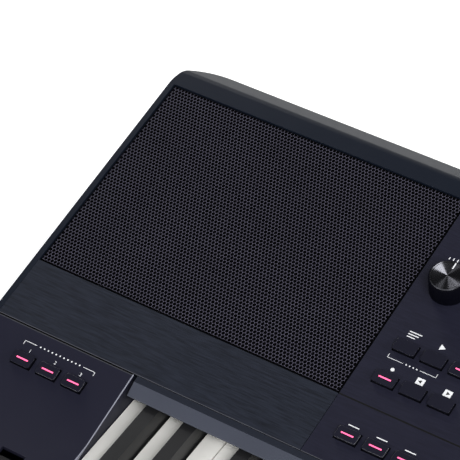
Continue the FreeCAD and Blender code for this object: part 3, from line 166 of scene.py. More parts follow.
class KeyboardColours(PropertyGroup):
    """Colours of the finished pieces"""

    case: colour("Case", "Moulded case", (0.0046, 0.0072, 0.0142))
    cover: colour("Covers", "Plates round the speaker grilles", (0.0118, 0.0142, 0.0222))
    plate: colour("Panel", "Control panel and end blocks", (0.0108, 0.0110, 0.0213))
    # Not a colour of the plastic: a painted highlight along the seam edges and the blocks' inner edges
    edge: colour("Bare edge", "Polished edges along the seam", (0.060, 0.062, 0.074))
    rail: colour("Rail", "Strip behind the keys", (0.048, 0.053, 0.072))
    grille: colour("Grille", "Painted steel of the speaker grilles", (0.076, 0.072, 0.102))
    # Near black: the film under the grilles, and also painted shade in the grille holes, the cover
    # recesses, the seams, the button wells and the dark strips in the seams and the groove
    seat: colour("Seat", "Film under the grilles, seals, seams and button wells", (0.0015, 0.0015, 0.002))
    button: colour("Button", "Button caps", (0.0047, 0.0048, 0.0127))
    lamp: colour("Lamp", "Lit bars on the buttons", (1.0, 0.125, 0.29))
    ink: colour("Print", "Printed signs", (0.75, 0.76, 0.78))
    white_key: colour("White keys", "Moulded white keys", (0.80, 0.79, 0.755))
    black_key: colour("Black keys", "Moulded black keys", (0.010, 0.010, 0.011))
    screen: colour("Screen", "Ground of the lit display", (0.008, 0.026, 0.065))
    knob: colour("Knob", "Spun metal of the volume knob", (0.080, 0.081, 0.092))
    wheel: colour("Wheels", "Rubber of the two wheels", (0.012, 0.012, 0.013))
    metal: colour("Metal", "Bright metal of rings and screws", (0.62, 0.62, 0.63))


class KeyboardStage(PropertyGroup):
    """Light and floor"""

    floor: colour("Floor", "Pale studio floor", (0.92, 0.92, 0.92))
    key_power: power("Key light", "Power of the main soft light", 101)
    left_power: power("Left light", "Power of the soft light at the rear left", 14)
    front_power: power("Front light", "Power of the soft light at the front left", 18)
    right_power: power("Right light", "Power of the soft light at the right", 18)
    top_power: power("Top lights", "Power of the weak lights overhead and behind", 3.8)
    floor_glow: brightness("Floor glow", "Light that the floor gives by itself", 0.42)
    horizon: brightness("Horizon", "Brightness of the studio's walls", 1.1)
    ceiling: brightness("Ceiling", "Brightness of the studio's ceiling", 0.08)


def sizes_and_colours(scene):
    """Gives the settings that the pieces are made with."""
    return scene.keyboard_sizes, scene.keyboard_colours


def join(tree, socket, value):
    """Links a wire to a socket, or sets the socket's own value."""
    if isinstance(value, Wire):
        tree.links.new(value.socket, socket)
    else:
        socket.default_value = value


class Wire:
    """A socket in a node tree, on which arithmetic adds Math nodes"""

    def __init__(self, tree, socket):
        self.tree = tree
        self.socket = socket

    def math(self, operation, *values):
        """Adds a Math node."""
        node = self.tree.nodes.new("ShaderNodeMath")
        node.operation = operation
        for socket, value in zip(node.inputs, values):
            join(self.tree, socket, value)
        return Wire(self.tree, node.outputs[0])

    def __add__(self, other):
        return self.math("ADD", self, other)

    def __sub__(self, other):
        return self.math("SUBTRACT", self, other)

    def __rsub__(self, other):
        return self.math("SUBTRACT", other, self)

    def __mul__(self, other):
        return self.math("MULTIPLY", self, other)

    def __truediv__(self, other):
        return self.math("DIVIDE", self, other)

    def __mod__(self, other):
        return self.math("FLOORED_MODULO", self, other)

    def __lt__(self, other):
        return self.math("LESS_THAN", self, other)

    def __gt__(self, other):
        return self.math("GREATER_THAN", self, other)

    def __abs__(self):
        return self.math("ABSOLUTE", self)

    __radd__ = __add__
    __rmul__ = __mul__


class Tree:
    """A node tree and the ways to add to it"""

    def __init__(self, tree):
        self.tree = tree

    def node(self, kind, settings=None, sockets=None, output=0):
        """Adds a node: its settings first, then its sockets by name or number."""
        node = self.tree.nodes.new("ShaderNode" + kind)
        for name, value in (settings or {}).items():
            setattr(node, name, value)
        for name, value in (sockets or {}).items():
            join(self.tree, node.inputs[name], value)
        return Wire(self.tree, node.outputs[output])

    def vector(self, operation, *values, output=0):
        """Adds a Vector Math node."""
        return self.node("VectorMath", {"operation": operation}, dict(enumerate(values)), output)


class Finish(Tree):
    """A material made of one Principled shader and the nodes that feed it"""

    def __init__(self, name, ground, roughness, sockets=None):
        self.material = bpy.data.materials.new(name)
        self.material.use_nodes = True
        super().__init__(self.material.node_tree)
        self.shader = self.tree.nodes["Principled BSDF"]
        self.place = self.node("TexCoord", output="Object")
        self.feed({"Base Color": ground, "Roughness": roughness, **(sockets or {})})

    def feed(self, sockets):
        """Sets or links sockets of the shader."""
        for name, value in sockets.items():
            join(self.tree, self.shader.inputs[name], value)

    def along(self, axis, origin):
        """Measures how far a point lies from an origin along an axis."""
        return self.vector("DOT_PRODUCT", self.place, axis, output="Value") - axis.dot(origin)

    def within(self, face):
        """Measures a point's three coordinates in the frame of a face."""
        axes = face.to_3x3().transposed()
        return [self.along(axis, face.translation) for axis in axes]

    def noise(self, size, detail=2.0, stretch=(1, 1, 1)):
        """Gives a noise whose features have about the given size."""
        spot = self.vector("MULTIPLY", self.place, Vector(stretch) / size)
        return self.node("TexNoise", None, {"Vector": spot, "Scale": 1.0, "Detail": detail}, "Fac")

    def blend(self, share, first, second):
        """Mixes two colours."""
        sockets = {0: share, 6: first, 7: second}
        return self.node("Mix", {"data_type": "RGBA"}, sockets, 2)

    def tint(self, share, second):
        """Mixes a second colour into the shader's base colour."""
        ground = Wire(self.tree, self.shader.inputs["Base Color"].links[0].from_socket)
        self.feed({"Base Color": self.blend(share, ground, second)})

    def bump(self, height, depth):
        """Makes a normal that stands for a height over the surface."""
        sockets = {"Height": height, "Distance": depth, "Strength": 1.0}
        return self.node("Bump", None, sockets, "Normal")


CLOUD_SIZE = 45 * MM
CLOUD_GLOSS = 0.08
SPECK_GLOSS = 0.10
PLATE_ROUGHNESS = 0.44
HAIR_WIDTH = 0.5 * MM
HAIR_STRETCH = (0.03, 1, 1)
HAIR_LEVEL = 0.56
HAIR_SHADE = 1.25
STREAK_WIDTH = 1.1 * MM
STREAK_STRETCH = (0.08, 1, 1)
STREAK_GAIN = 4
FLAT_ANGLE = radians(1)
SHARP_ANGLE = radians(32)
SPIN_MERGE = 1e-7
RING_SIDES = 24
DOT_SIDES = 12
DOT_SHARE = 1.6
NUMERAL_SHARE = 0.72


def shade(ground, factor):
    """Gives a colour lighter or darker by a factor."""
    return (*(min(1, value * factor) for value in ground[:3]), 1)


def moulded(name, ground, roughness, grain=0.5 * MM, depth=0.012 * MM, mottle=0.12, gloss=0.18):
    """Makes a moulded plastic with a fine spark-eroded grain."""
    finish = Finish(name, ground, roughness, {"Specular IOR Level": gloss})
    cloud = finish.noise(CLOUD_SIZE, 3.0)
    speck = finish.noise(grain)
    finish.feed({
        "Base Color": finish.blend(cloud, shade(ground, 1 - mottle), shade(ground, 1 + mottle)),
        "Roughness": (cloud - 0.5) * CLOUD_GLOSS + (speck - 0.5) * SPECK_GLOSS + roughness,
        "Normal": finish.bump(speck, depth),
    })
    return finish


def brushed(name, ground, contrast):
    """Makes a plate of plastic with hairlines and wider streaks from side to side."""
    finish = moulded(name, ground, PLATE_ROUGHNESS, mottle=0.06)
    hairs = finish.noise(HAIR_WIDTH, 3.0, HAIR_STRETCH)
    finish.tint((hairs > HAIR_LEVEL) * 0.5, shade(ground, HAIR_SHADE))
    streaks = finish.noise(STREAK_WIDTH, 2.0, STREAK_STRETCH) - 0.5
    finish.tint(streaks * STREAK_GAIN, shade(ground, 1 + contrast))
    finish.tint(streaks * -STREAK_GAIN, shade(ground, 1 - contrast))
    return finish


def uneven(name, ground, low, high, size, sockets=None):
    """Makes a finish whose roughness wanders between two values."""
    finish = Finish(name, ground, low, sockets)
    finish.feed({"Roughness": finish.noise(size) * (high - low) + low})
    return finish


def piece(name, bm, finish, body, slot, *replaced, sharp=35):
    """Makes an object of a finished bmesh and seats it on a body."""
    mesh = bpy.data.meshes.new(name)
    bm.to_mesh(mesh)
    bm.free()
    mesh.shade_smooth()
    mesh.set_sharp_from_angle(angle=radians(sharp))
    mesh.materials.append(finish.material)
    made = bpy.data.objects.new(name, mesh)
    bpy.context.collection.objects.link(made)
    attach(made, body)
    if replaced:
        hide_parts(*replaced)
    return made


def paint(finish, *names):
    """Gives CAD nodes a finish."""
    for name in names:
        for slot in NODES[name].material_slots:
            slot.material = finish.material


def smooth_group():
    """Gives the node group that shades every face smooth."""
    group = bpy.data.node_groups.get("Smooth faces")
    if group:
        return group
    group = bpy.data.node_groups.new("Smooth faces", "GeometryNodeTree")
    for way in ("INPUT", "OUTPUT"):
        group.interface.new_socket("Geometry", in_out=way, socket_type="NodeSocketGeometry")
    start = group.nodes.new("NodeGroupInput")
    smooth = group.nodes.new("GeometryNodeSetShadeSmooth")
    end = group.nodes.new("NodeGroupOutput")
    group.links.new(start.outputs[0], smooth.inputs["Geometry"])
    group.links.new(smooth.outputs[0], end.inputs[0])
    return group


def nodes(*names):
    """Gives the objects of CAD nodes."""
    return [NODES[name] for name in names]


def soften(width, objects, segments=2):
    """Rounds the edges of objects with modifiers."""
    for item in objects:
        stack = item.modifiers
        weld = stack.new("Weld", "WELD")
        weld.merge_threshold = MERGE
        flat = stack.new("Flat faces", "DECIMATE")
        flat.decimate_type = "DISSOLVE"
        flat.angle_limit = FLAT_ANGLE
        edge = stack.new("Rounded edges", "BEVEL")
        edge.width = width
        edge.segments = segments
        edge.limit_method = "ANGLE"
        edge.angle_limit = SHARP_ANGLE
        smooth = stack.new("Smooth faces", "NODES")
        smooth.node_group = smooth_group()
        stack.new("Flat shading", "WEIGHTED_NORMAL")


def copied(name):
    """Copies a CAD node's mesh, with its triangles merged into whole faces."""
    bm = bmesh.new()
    bm.from_mesh(NODES[name].data)
    bmesh.ops.remove_doubles(bm, verts=bm.verts[:], dist=MERGE)
    bmesh.ops.dissolve_limit(bm, angle_limit=FLAT_ANGLE, verts=bm.verts[:], edges=bm.edges[:])
    return bm


def rounded(bm, edges, offset, segments):
    """Rounds chosen edges of a bmesh."""
    bmesh.ops.bevel(bm, geom=edges, offset=offset, segments=segments, profile=0.5, affect="EDGES",
                    clamp_overlap=True, material=-1)


def add(bm, part):
    """Adds one bmesh to another and frees it."""
    mesh = bpy.data.meshes.new("part")
    part.to_mesh(mesh)
    part.free()
    bm.from_mesh(mesh)
    bpy.data.meshes.remove(mesh)


def slab(bm, place, size, edge=0.0, segments=2):
    """Adds a box, with rounded edges where an edge is given."""
    part = bmesh.new()
    bmesh.ops.create_cube(part, size=1, matrix=Matrix.Diagonal((*size, 1)))
    if edge:
        bmesh.ops.bevel(part, geom=part.edges[:], offset=edge, segments=segments, profile=0.5,
                        affect="EDGES", material=-1)
    part.transform(place)
    add(bm, part)


def turned(bm, place, profile, steps=72):
    """Adds a round solid, a profile of radius and height turned about a place's Z axis."""
    part = bmesh.new()
    points = [part.verts.new((radius, 0, height)) for radius, height in profile]
    for pair in zip(points, points[1:]):
        part.edges.new(pair)
    bmesh.ops.spin(part, geom=part.verts[:] + part.edges[:], cent=(0, 0, 0), axis=(0, 0, 1),
                   angle=2 * pi, steps=steps, use_merge=True)
    bmesh.ops.remove_doubles(part, verts=part.verts[:], dist=SPIN_MERGE)
    bmesh.ops.recalc_face_normals(part, faces=part.faces[:])
    part.transform(place)
    add(bm, part)


def stroke(bm, face, start, end, width):
    """Prints a straight line between two points of a face."""
    start, end = Vector(start), Vector(end)
    run = end - start
    middle = (start + end) / 2
    place = at(face, *middle) @ Matrix.Rotation(atan2(run.y, run.x), 4, "Z")
    slab(bm, place, (run.length + width, width, 2 * PROUD))


def bracket(bm, face, left, right, row, tick, width, arm, dots):
    """Prints a line with a tick at each end, and a row of dots between its two arms."""
    for start, end in ((left, left + arm), (right, right - arm)):
        stroke(bm, face, (start, row), (end, row), width)
        stroke(bm, face, (start, row), (start, row + tick), width)
    step = (right - left - 2 * arm) / (dots + 1)
    for number in range(1, dots + 1):
        polygon(bm, face, (left + arm + step * number, row), DOT_SHARE * width, DOT_SIDES, 0)


def ring(bm, face, centre, radius, width):
    """Prints a circle."""
    inner = radius - width
    profile = [(inner, 0), (radius, 0), (radius, PROUD), (inner, PROUD), (inner, 0)]
    turned(bm, at(face, *centre), profile, RING_SIDES)


def polygon(bm, face, centre, radius, sides, turn, height=PROUD):
    """Prints a filled regular polygon."""
    place = at(face, *centre, height) @ Matrix.Rotation(turn, 4, "Z")
    bmesh.ops.create_circle(bm, cap_ends=True, segments=sides, radius=radius, matrix=place)


def sign(bm, face, centre, text, height):
    """Prints a number."""
    font = bpy.data.curves.new("sign", "FONT")
    font.body = text
    font.size = height / NUMERAL_SHARE
    font.align_x = "CENTER"
    font.align_y = "CENTER"
    written = bpy.data.objects.new("sign", font)
    mesh = bpy.data.meshes.new_from_object(written)
    mesh.transform(at(face, *centre, PROUD))
    bm.from_mesh(mesh)
    bpy.data.objects.remove(written)
    bpy.data.curves.remove(font)
    bpy.data.meshes.remove(mesh)


def points_on(name, face):
    """Gives a CAD node's points in the frame of a face."""
    back = face.inverted()
    return [back @ vertex.co for vertex in NODES[name].data.vertices]


def box_on(name, face):
    """Gives a CAD node's lowest and highest corners in the frame of a face."""
    axes = list(zip(*points_on(name, face)))
    return Vector(map(min, axes)), Vector(map(max, axes))


def distinct(values):
    """Sorts values and drops those that repeat."""
    kept = []
    for value in sorted(values):
        if not kept or value - kept[-1] > TINY:
            kept.append(value)
    return kept


def caps_on(name, face):
    """Gives the middle and size of each button cap's top in the frame of a face."""
    points = points_on(name, face)
    top = max(point.z for point in points)
    corners = [point for point in points if point.z > top - TINY]
    rows = distinct(point.y for point in corners)
    for front, back in zip(rows[::2], rows[1::2]):
        columns = distinct(point.x for point in corners if abs(point.y - front) < TINY)
        for left, right in zip(columns[::2], columns[1::2]):
            middle = Vector(((left + right) / 2, (front + back) / 2, top))
            yield middle, Vector((right - left, back - front))


def soft_light(name, place, target, size, watts):
    """Hangs a rectangular soft light and turns it towards its target."""
    lamp = bpy.data.lights.new(name, "AREA")
    lamp.shape = "RECTANGLE"
    lamp.size, lamp.size_y = size
    lamp.energy = watts
    made = bpy.data.objects.new(name, lamp)
    made.location = place
    made.rotation_euler = (Vector(target) - made.location).to_track_quat("-Z", "Y").to_euler()
    bpy.context.collection.objects.link(made)


FLOOR_RADIUS = 6
FLOOR_SIDES = 96
FLOOR_CLOUD = 0.8
SKY_TINT = (0.97, 0.985, 1.0, 1)
WALLS_END = 0.10
CEILING_STARTS = 0.45
MIDDLE = (-0.1, 0, 0.1)
LEFT_END = (-0.35, -0.1, 0.09)
KNOB = (-0.24, 0.11, 0.13)
# A light's name, place, target and size, the setting that gives its power, and its share of that power
LIGHTS = (
    ("key_light", (1.5, -1.5, 2.4), MIDDLE, (1.6, 1.6), "key_power", 1),
    ("left_light", (-1.77, 1.33, 0.90), KNOB, (0.6, 0.7), "left_power", 1),
    ("front_light", (-1.27, -1.77, 1.19), LEFT_END, (1.0, 0.5), "front_power", 1),
    ("right_light", (1.59, 0.63, 0.82), LEFT_END, (0.8, 0.6), "right_power", 1),
    ("right_top_light", (0.34, 0.28, 2.24), KNOB, (0.5, 0.5), "top_power", 1),
    ("left_top_light", (-0.96, -0.53, 2.11), KNOB, (0.7, 0.5), "top_power", 0.2),
    ("rear_light", (-0.71, 1.97, 1.21), KNOB, (0.4, 0.4), "top_power", 0.2),
)
CAMERA_PLACE = (0.27352, -0.84449, 1.23948)
CAMERA_TURN = (45.419, 2.719, 33.028)
CAMERA_LENS = 191.467
CAMERA_SENSOR = 36


def lay_floor(stage):
    """Lays a pale round floor."""
    bm = bmesh.new()
    bmesh.ops.create_circle(bm, cap_ends=True, segments=FLOOR_SIDES, radius=FLOOR_RADIUS)
    mesh = bpy.data.meshes.new("floor")
    bm.to_mesh(mesh)
    bm.free()
    finish = Finish("studio_floor", stage.floor, 0.6)
    cloud = finish.noise(FLOOR_CLOUD)
    finish.feed({"Base Color": finish.blend(cloud, shade(stage.floor, 0.99), shade(stage.floor, 1.01)),
                 "Emission Color": stage.floor, "Emission Strength": stage.floor_glow})
    mesh.materials.append(finish.material)
    ground = bpy.data.objects.new("floor", mesh)
    bpy.context.collection.objects.link(ground)
    ground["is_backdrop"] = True


def light_studio(scene, stage):
    """Gives the studio bright walls and a dim ceiling, and hangs the lights."""
    scene.world = bpy.data.worlds.new("studio")
    scene.world.use_nodes = True
    sky = Tree(scene.world.node_tree)
    way = sky.node("TexCoord", output="Generated")
    height = sky.node("SeparateXYZ", None, {0: way}, "Z")
    glow = sky.node("MapRange", {"interpolation_type": "SMOOTHSTEP"}, {
        "Value": height, "From Min": WALLS_END, "From Max": CEILING_STARTS,
        "To Min": stage.horizon, "To Max": stage.ceiling})
    studio = sky.tree.nodes["Background"].inputs
    join(sky.tree, studio["Strength"], glow)
    join(sky.tree, studio["Color"], SKY_TINT)
    for name, place, target, size, source, share in LIGHTS:
        soft_light(name, place, target, size, getattr(stage, source) * share)


def set_camera(scene):
    """Sets the camera at the photograph's viewing angle."""
    lens = bpy.data.cameras.new("camera")
    lens.lens = CAMERA_LENS
    lens.sensor_width = CAMERA_SENSOR
    camera = bpy.data.objects.new("camera", lens)
    camera.location = CAMERA_PLACE
    camera.rotation_euler = Euler(map(radians, CAMERA_TURN))
    bpy.context.collection.objects.link(camera)
    scene.camera = camera
    scene.view_settings.view_transform = "Standard"


class KEYBOARD_OT_stage(Operator):
    """Lay the floor, hang the lights and set the camera"""

    bl_idname = "keyboard.stage"
    bl_label = "Stage"

    def execute(self, context):
        scene = context.scene
        lay_floor(scene.keyboard_stage)
        light_studio(scene, scene.keyboard_stage)
        set_camera(scene)
        return {"FINISHED"}


# Painted highlights along the seam and the blocks' inner edges, and painted shade in the seam gap, the
# cover recesses and the button wells, placed by where a point lies on the face
HIGHLIGHT_WIDTH = 0.6 * MM
HIGHLIGHT_DEPTH = 0.35 * MM
RIM_DEPTH = 0.5 * MM
GLINT_WIDTH = 1.5 * MM
GLINT_SHADE = 0.7
INNER_HIGHLIGHT = 4
SEAM_SHADE_WIDTH = 0.95 * MM
WELL_SHADE_DEPTH = 0.05 * MM
RECESS_SHADE_DEPTH = 0.9 * MM
RAIL_STRIP = 4.5 * MM
GROOVE_WIDTH = 1.1 * MM
SHADE_STRIP_DROP = 0.45 * MM
SHADE_STRIP_WIDTH = 0.5 * MM
SHADE_STRIP_HEIGHT = 0.6 * MM
SHADE_STRIP_EDGE = 0.1 * MM


def patch(across, along, middle, reach):
    """Marks a rectangle by its middle and its reach to each side."""
    return (abs(across - middle[0]) < reach[0]) * (abs(along - middle[1]) < reach[1])


def on_seam(along, height):
    """Marks the edge of a top plate along the seam, where a highlight is painted."""
    return (along < HIGHLIGHT_WIDTH) * (height > -HIGHLIGHT_DEPTH)


def finish_case(sizes, colours):
    """Makes the top case with a soft crease along its rear, and finishes the bottom case."""
    case = moulded("case_plastic", colours.case, 0.42, gloss=0.20)
    shell = copied("top_case")
    top = max(vert.co.z for vert in shell.verts) - TINY
    crease = [edge for edge in shell.edges if all(vert.co.z > top for vert in edge.verts)]
    rounded(shell, crease, sizes.crease, 5)
    shell = piece("top_case_shell", shell, case, "case", "case_plastic", "top_case")
    paint(case, "bottom_case")
    soften(sizes.case_edge, [shell, *nodes("bottom_case")])


def finish_blocks(sizes, colours):
    """Finishes the end blocks, with painted highlights on the rear and inner edges, and painted shade in
    the seam gap and the wells round the buttons.
    """
    block = moulded("block_plastic", colours.plate, PLATE_ROUGHNESS, mottle=0.08)
    across, along, height = block.within(BLOCK)
    rim = height > -RIM_DEPTH
    # Painted highlight along the top of the block's rear edge, then painted shade over its nearest part,
    # in the seam gap
    block.tint((along > -GLINT_WIDTH) * rim, shade(colours.edge, GLINT_SHADE))
    block.tint(along > -SEAM_SHADE_WIDTH, colours.seat)
    # Painted shade in the wells round the assignable buttons, below the block's face
    first = box_on(ASSIGN[0], BLOCK)[0]
    last = box_on(ASSIGN[-1], BLOCK)[1]
    wells = patch(across, along, (first + last) / 2, (last - first) / 2)
    block.tint(wells * (height < -WELL_SHADE_DEPTH), colours.seat)
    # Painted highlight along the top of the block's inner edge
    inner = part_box("left_end_block")[1].x
    block.tint((abs(across - inner) < HIGHLIGHT_WIDTH) * rim, shade(colours.edge, INNER_HIGHLIGHT))
    paint(block, *BLOCKS)
    soften(sizes.case_edge, nodes(*BLOCKS))


def finish_plates(sizes, colours):
    """Finishes the control panel, the speaker covers and the rail behind the keys."""
    plate = brushed("panel_plastic", colours.plate, 0.16)
    _, along, height = plate.within(PANEL)
    # Painted shade on all that lies below the panel's face: the button wells and the sides of the holes
    plate.tint(height < -WELL_SHADE_DEPTH, colours.seat)
    # Painted highlight along the panel's edge at the seam
    plate.tint(on_seam(along, height), colours.edge)
    paint(plate, "control_panel")
    soften(sizes.plate_edge, nodes("control_panel"))

    cover = brushed("cover_plastic", colours.cover, 0.4)
    _, along, height = cover.within(PANEL)
    # Painted highlight along the cover's edge at the seam
    cover.tint(on_seam(along, height), colours.edge)
    # Painted shade on the floor and walls of the recess under the grille
    cover.tint(height < -RECESS_SHADE_DEPTH, colours.seat)
    paint(cover, *COVERS)
    soften(sizes.cover_edge, nodes(*COVERS))

    rail = moulded("rail_plastic", colours.rail, 0.45)
    along = rail.along(Vector((0, 1, 0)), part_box("fall_rail")[1])
    rail.tint(along > -RAIL_STRIP, colours.cover)
    paint(rail, "fall_rail")
    soften(sizes.plate_edge, nodes("fall_rail"))


def lay_seams(sizes, colours):
    """Lays a flat dark strip across the panel as a painted groove shadow, and dark strips as painted shade
    in the seams behind the end blocks.
    """
    # A flat dark strip over the panel, painted where a groove's shadow falls
    groove = moulded("groove_shadow", colours.seat, 0.7)
    low, high = box_on("control_panel", PANEL)
    front = box_on(GRILLES[0], PANEL)[0].y
    bm = bmesh.new()
    place = at(PANEL, (low.x + high.x) / 2, front)
    slab(bm, place, (high.x - low.x, GROOVE_WIDTH, 2 * PROUD))
    piece("panel_groove_shadow", bm, groove, "case", "case_plastic")

    # Dark strips laid in the seam gaps as painted shade
    seam_shade = moulded("painted_seam_shade", colours.seat, 0.9, gloss=0.02)
    for name in BLOCKS:
        low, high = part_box(name)
        seam = PANEL.translation - Vector((0, 0, SHADE_STRIP_DROP))
        seam.x = (low.x + high.x) / 2
        size = (high.x - low.x - 2 * sizes.case_edge, SHADE_STRIP_WIDTH, SHADE_STRIP_HEIGHT)
        bm = bmesh.new()
        slab(bm, Matrix.Translation(seam), size, SHADE_STRIP_EDGE)
        piece(f"{name}_seal", bm, seam_shade, "case", "rubber")


class KEYBOARD_OT_case(Operator):
    """Finish the case, the top plates and the rail behind the keys"""

    bl_idname = "keyboard.case"
    bl_label = "Case"

    def execute(self, context):
        for job in (finish_case, finish_blocks, finish_plates, lay_seams):
            job(*sizes_and_colours(context.scene))
        return {"FINISHED"}


HOLE_SIDES = 12
# Rows and columns of holes that reach past the cut
SPARE = 3
# Points closer than this share of the pitch become one
HOLE_MERGE = 0.005
# In millimetres: how near a cut takes a point, and the shortest edge that is kept
CUT_REACH = 1e-4
SHORT_EDGE = 0.005
# Where the pattern of holes starts: pitches to the left of the sheet and rows below its origin
FIRST_COLUMN = 0.7
FIRST_ROW = 0.4
FILM_GAP = 0.4 * MM
FILM_RISE = 0.12 * MM
FILM_THICKNESS = 0.16 * MM
FILM_EDGE = 0.05 * MM
SHEET_RISE = 0.25 * MM


def spread(bm, step, count):
    """Repeats all that a bmesh holds along a step."""
    first = bm.verts[:] + bm.edges[:] + bm.faces[:]
    for number in range(1, count):
        copy = bmesh.ops.duplicate(bm, geom=first)["geom"]
        points = [item for item in copy if isinstance(item, bmesh.types.BMVert)]
        bmesh.ops.translate(bm, verts=points, vec=step * number)


def perforated(origin, low, high, pitch, row, hole):
    """Makes the stretch of a perforated sheet between two corners, its pattern set from an origin.

    The sheet is made in millimetres, because bridging loses its way on smaller numbers.
    """
    origin, low, high, pitch, row, hole = (value / MM for value in (origin, low, high, pitch, row, hole))
    bm = bmesh.new()
    stretch = Matrix.Diagonal((1, row / (pitch * sqrt(3) / 2), 1, 1))
    for place in ((0, 0, 0), (pitch / 2, row, 0)):
        matrix = Matrix.Translation(place) @ stretch
        rings = []
        for sides, radius in ((6, pitch / sqrt(3)), (HOLE_SIDES, hole / 2)):
            rings += bmesh.ops.create_circle(bm, segments=sides, radius=radius, matrix=matrix)["verts"]
        edges = dict.fromkeys(edge for vert in rings for edge in vert.link_edges)
        bmesh.ops.bridge_loops(bm, edges=list(edges))
    bm.normal_update()
    turned_over = [face for face in bm.faces if face.normal.z < 0]
    bmesh.ops.reverse_faces(bm, faces=turned_over)

    first_row = floor((low.y - origin.y) / (2 * row)) - 1
    rows = ceil((high.y - low.y) / (2 * row)) + SPARE
    columns = ceil((high.x - low.x) / pitch) + SPARE
    spread(bm, Vector((pitch, 0, 0)), columns)
    spread(bm, Vector((0, 2 * row, 0)), rows)
    start = Vector((low.x - FIRST_COLUMN * pitch, origin.y + (first_row * 2 - FIRST_ROW) * row, 0))
    bmesh.ops.translate(bm, verts=bm.verts[:], vec=start)
    bmesh.ops.remove_doubles(bm, verts=bm.verts[:], dist=pitch * HOLE_MERGE)
    for corner, normal in ((low, (-1, 0, 0)), (low, (0, -1, 0)), (high, (1, 0, 0)), (high, (0, 1, 0))):
        bmesh.ops.bisect_plane(bm, geom=bm.verts[:] + bm.edges[:] + bm.faces[:], dist=CUT_REACH,
                               plane_co=(corner.x, corner.y, 0), plane_no=normal, clear_outer=True)
    bmesh.ops.dissolve_degenerate(bm, dist=SHORT_EDGE, edges=bm.edges[:])
    bmesh.ops.delete(bm, geom=[vert for vert in bm.verts if not vert.link_faces], context="VERTS")
    bmesh.ops.solidify(bm, geom=bm.faces[:], thickness=high.z - low.z)
    bmesh.ops.translate(bm, verts=bm.verts[:], vec=(0, 0, high.z))
    bm.transform(Matrix.Scale(MM, 4))
    return bm


class KEYBOARD_OT_grilles(Operator):
    """Punch the speaker grilles and lay the film behind them"""

    bl_idname = "keyboard.grilles"
    bl_label = "Speaker grilles"

    def execute(self, context):
        sizes, colours = sizes_and_colours(context.scene)
        steel = moulded("grille_paint", colours.grille, 0.40, grain=0.25 * MM, depth=0.006 * MM)
        face = box_on(GRILLES[0], PANEL)[1].z
        # Painted shade on the walls of the holes, below the sheet's top face
        steel.tint(steel.within(PANEL)[2] < face - TINY, colours.seat)
        film = moulded("backing_film", colours.seat, 0.9, grain=0.4 * MM, depth=0.03 * MM, gloss=0.02)
        gap = Vector((sizes.grille_gap, sizes.grille_gap, 0))
        for name in GRILLES:
            low, high = box_on(name, PANEL)
            size = high - low
            place = at(PANEL, low.x + size.x / 2, low.y + size.y / 2, low.z + FILM_RISE)
            bm = bmesh.new()
            slab(bm, place, (size.x - FILM_GAP, size.y - FILM_GAP, FILM_THICKNESS), FILM_EDGE)
            piece(f"{name}_backing", bm, film, "case", "cone_paper")
            low += gap + Vector((0, sizes.front_gap, SHEET_RISE))
            high -= gap
            third = (high.y - low.y) / 3
            for number, part in enumerate(("front", "middle", "rear")):
                near = Vector((low.x, low.y + number * third, low.z))
                far = Vector((high.x, near.y + third, high.z))
                bm = perforated(low, near, far, sizes.hole_pitch, sizes.row_pitch, sizes.hole_width)
                bm.transform(PANEL)
                made = piece(f"{name}_{part}", bm, steel, "case", "grille_metal")
                if part == "front":
                    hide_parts(name)
        return {"FINISHED"}


LIT = (*ASSIGN, "metronome_button", "tap_button", "registration_buttons", "style_control_buttons")
CAP_RIM = 0.45 * MM
CAP_SIDE_PAINTED_SHADE = 0.2
LAMP_SINK = 0.2 * MM
LAMP_HEIGHT = 0.6 * MM
LAMP_EDGE = 0.06 * MM
# How closely an edge follows the axis of its button
UPRIGHT = 0.99


def cap_plastic(name, ground, button, face):
    """Makes the plastic of the button caps on a face, with painted shade below the rims of their tops."""
    finish = moulded(name, ground, 0.34, grain=0.3 * MM, depth=0.006 * MM, gloss=0.5)
    top = box_on(button, face)[1].z
    # Painted shade on the sides of the caps, below the rims of their tops
    finish.tint(finish.within(face)[2] < top - CAP_RIM, shade(ground, CAP_SIDE_PAINTED_SHADE))
    return finish


def round_caps(sizes, colours):
    """Rounds the corners and rims of the button caps."""
    cap = cap_plastic("button_plastic", colours.button, SINGLES[0], PANEL)
    block_cap = cap_plastic("block_button_plastic", colours.button, ASSIGN[0], BLOCK)
    for name in (*ASSIGN, *SINGLES, *STRIPS):
        face, finish = (BLOCK, block_cap) if name in ASSIGN else (PANEL, cap)
        axis = face.col[2].xyz
        bm = copied(name)
        top = max(vert.co.dot(axis) for vert in bm.verts) - TINY
        corners = []
        for edge in bm.edges:
            start, end = (vert.co for vert in edge.verts)
            follows = abs((start - end).normalized().dot(axis))
            if max(start.dot(axis), end.dot(axis)) > top and follows > UPRIGHT:
                corners.append(edge)
        rounded(bm, corners, sizes.button_corner, 4)
        made = piece(f"{name}_caps", bm, finish, name, "button_plastic", name)
        soften(sizes.button_edge, [made], 3)


def set_lamps(sizes, colours):
    """Sets a lit bar into the top of each button that has a lamp."""
    lit = Finish("lamp_lit", colours.lamp, 0.3, {"Emission Color": colours.lamp, "Emission Strength": 1.0})
    ground = lit.noise(0.8 * MM, 1.0)
    lit.feed({"Base Color": lit.blend(ground, shade(colours.lamp, 0.9), shade(colours.lamp, 1.1))})
    for name in LIT:
        face = BLOCK if name in ASSIGN else PANEL
        bm = bmesh.new()
        for middle, _ in caps_on(name, face):
            place = at(face, middle.x, middle.y, middle.z - LAMP_SINK)
            slab(bm, place, (sizes.lamp_length, sizes.lamp_width, LAMP_HEIGHT), LAMP_EDGE)
        piece(f"{name}_lamp", bm, lit, name, "button_plastic")


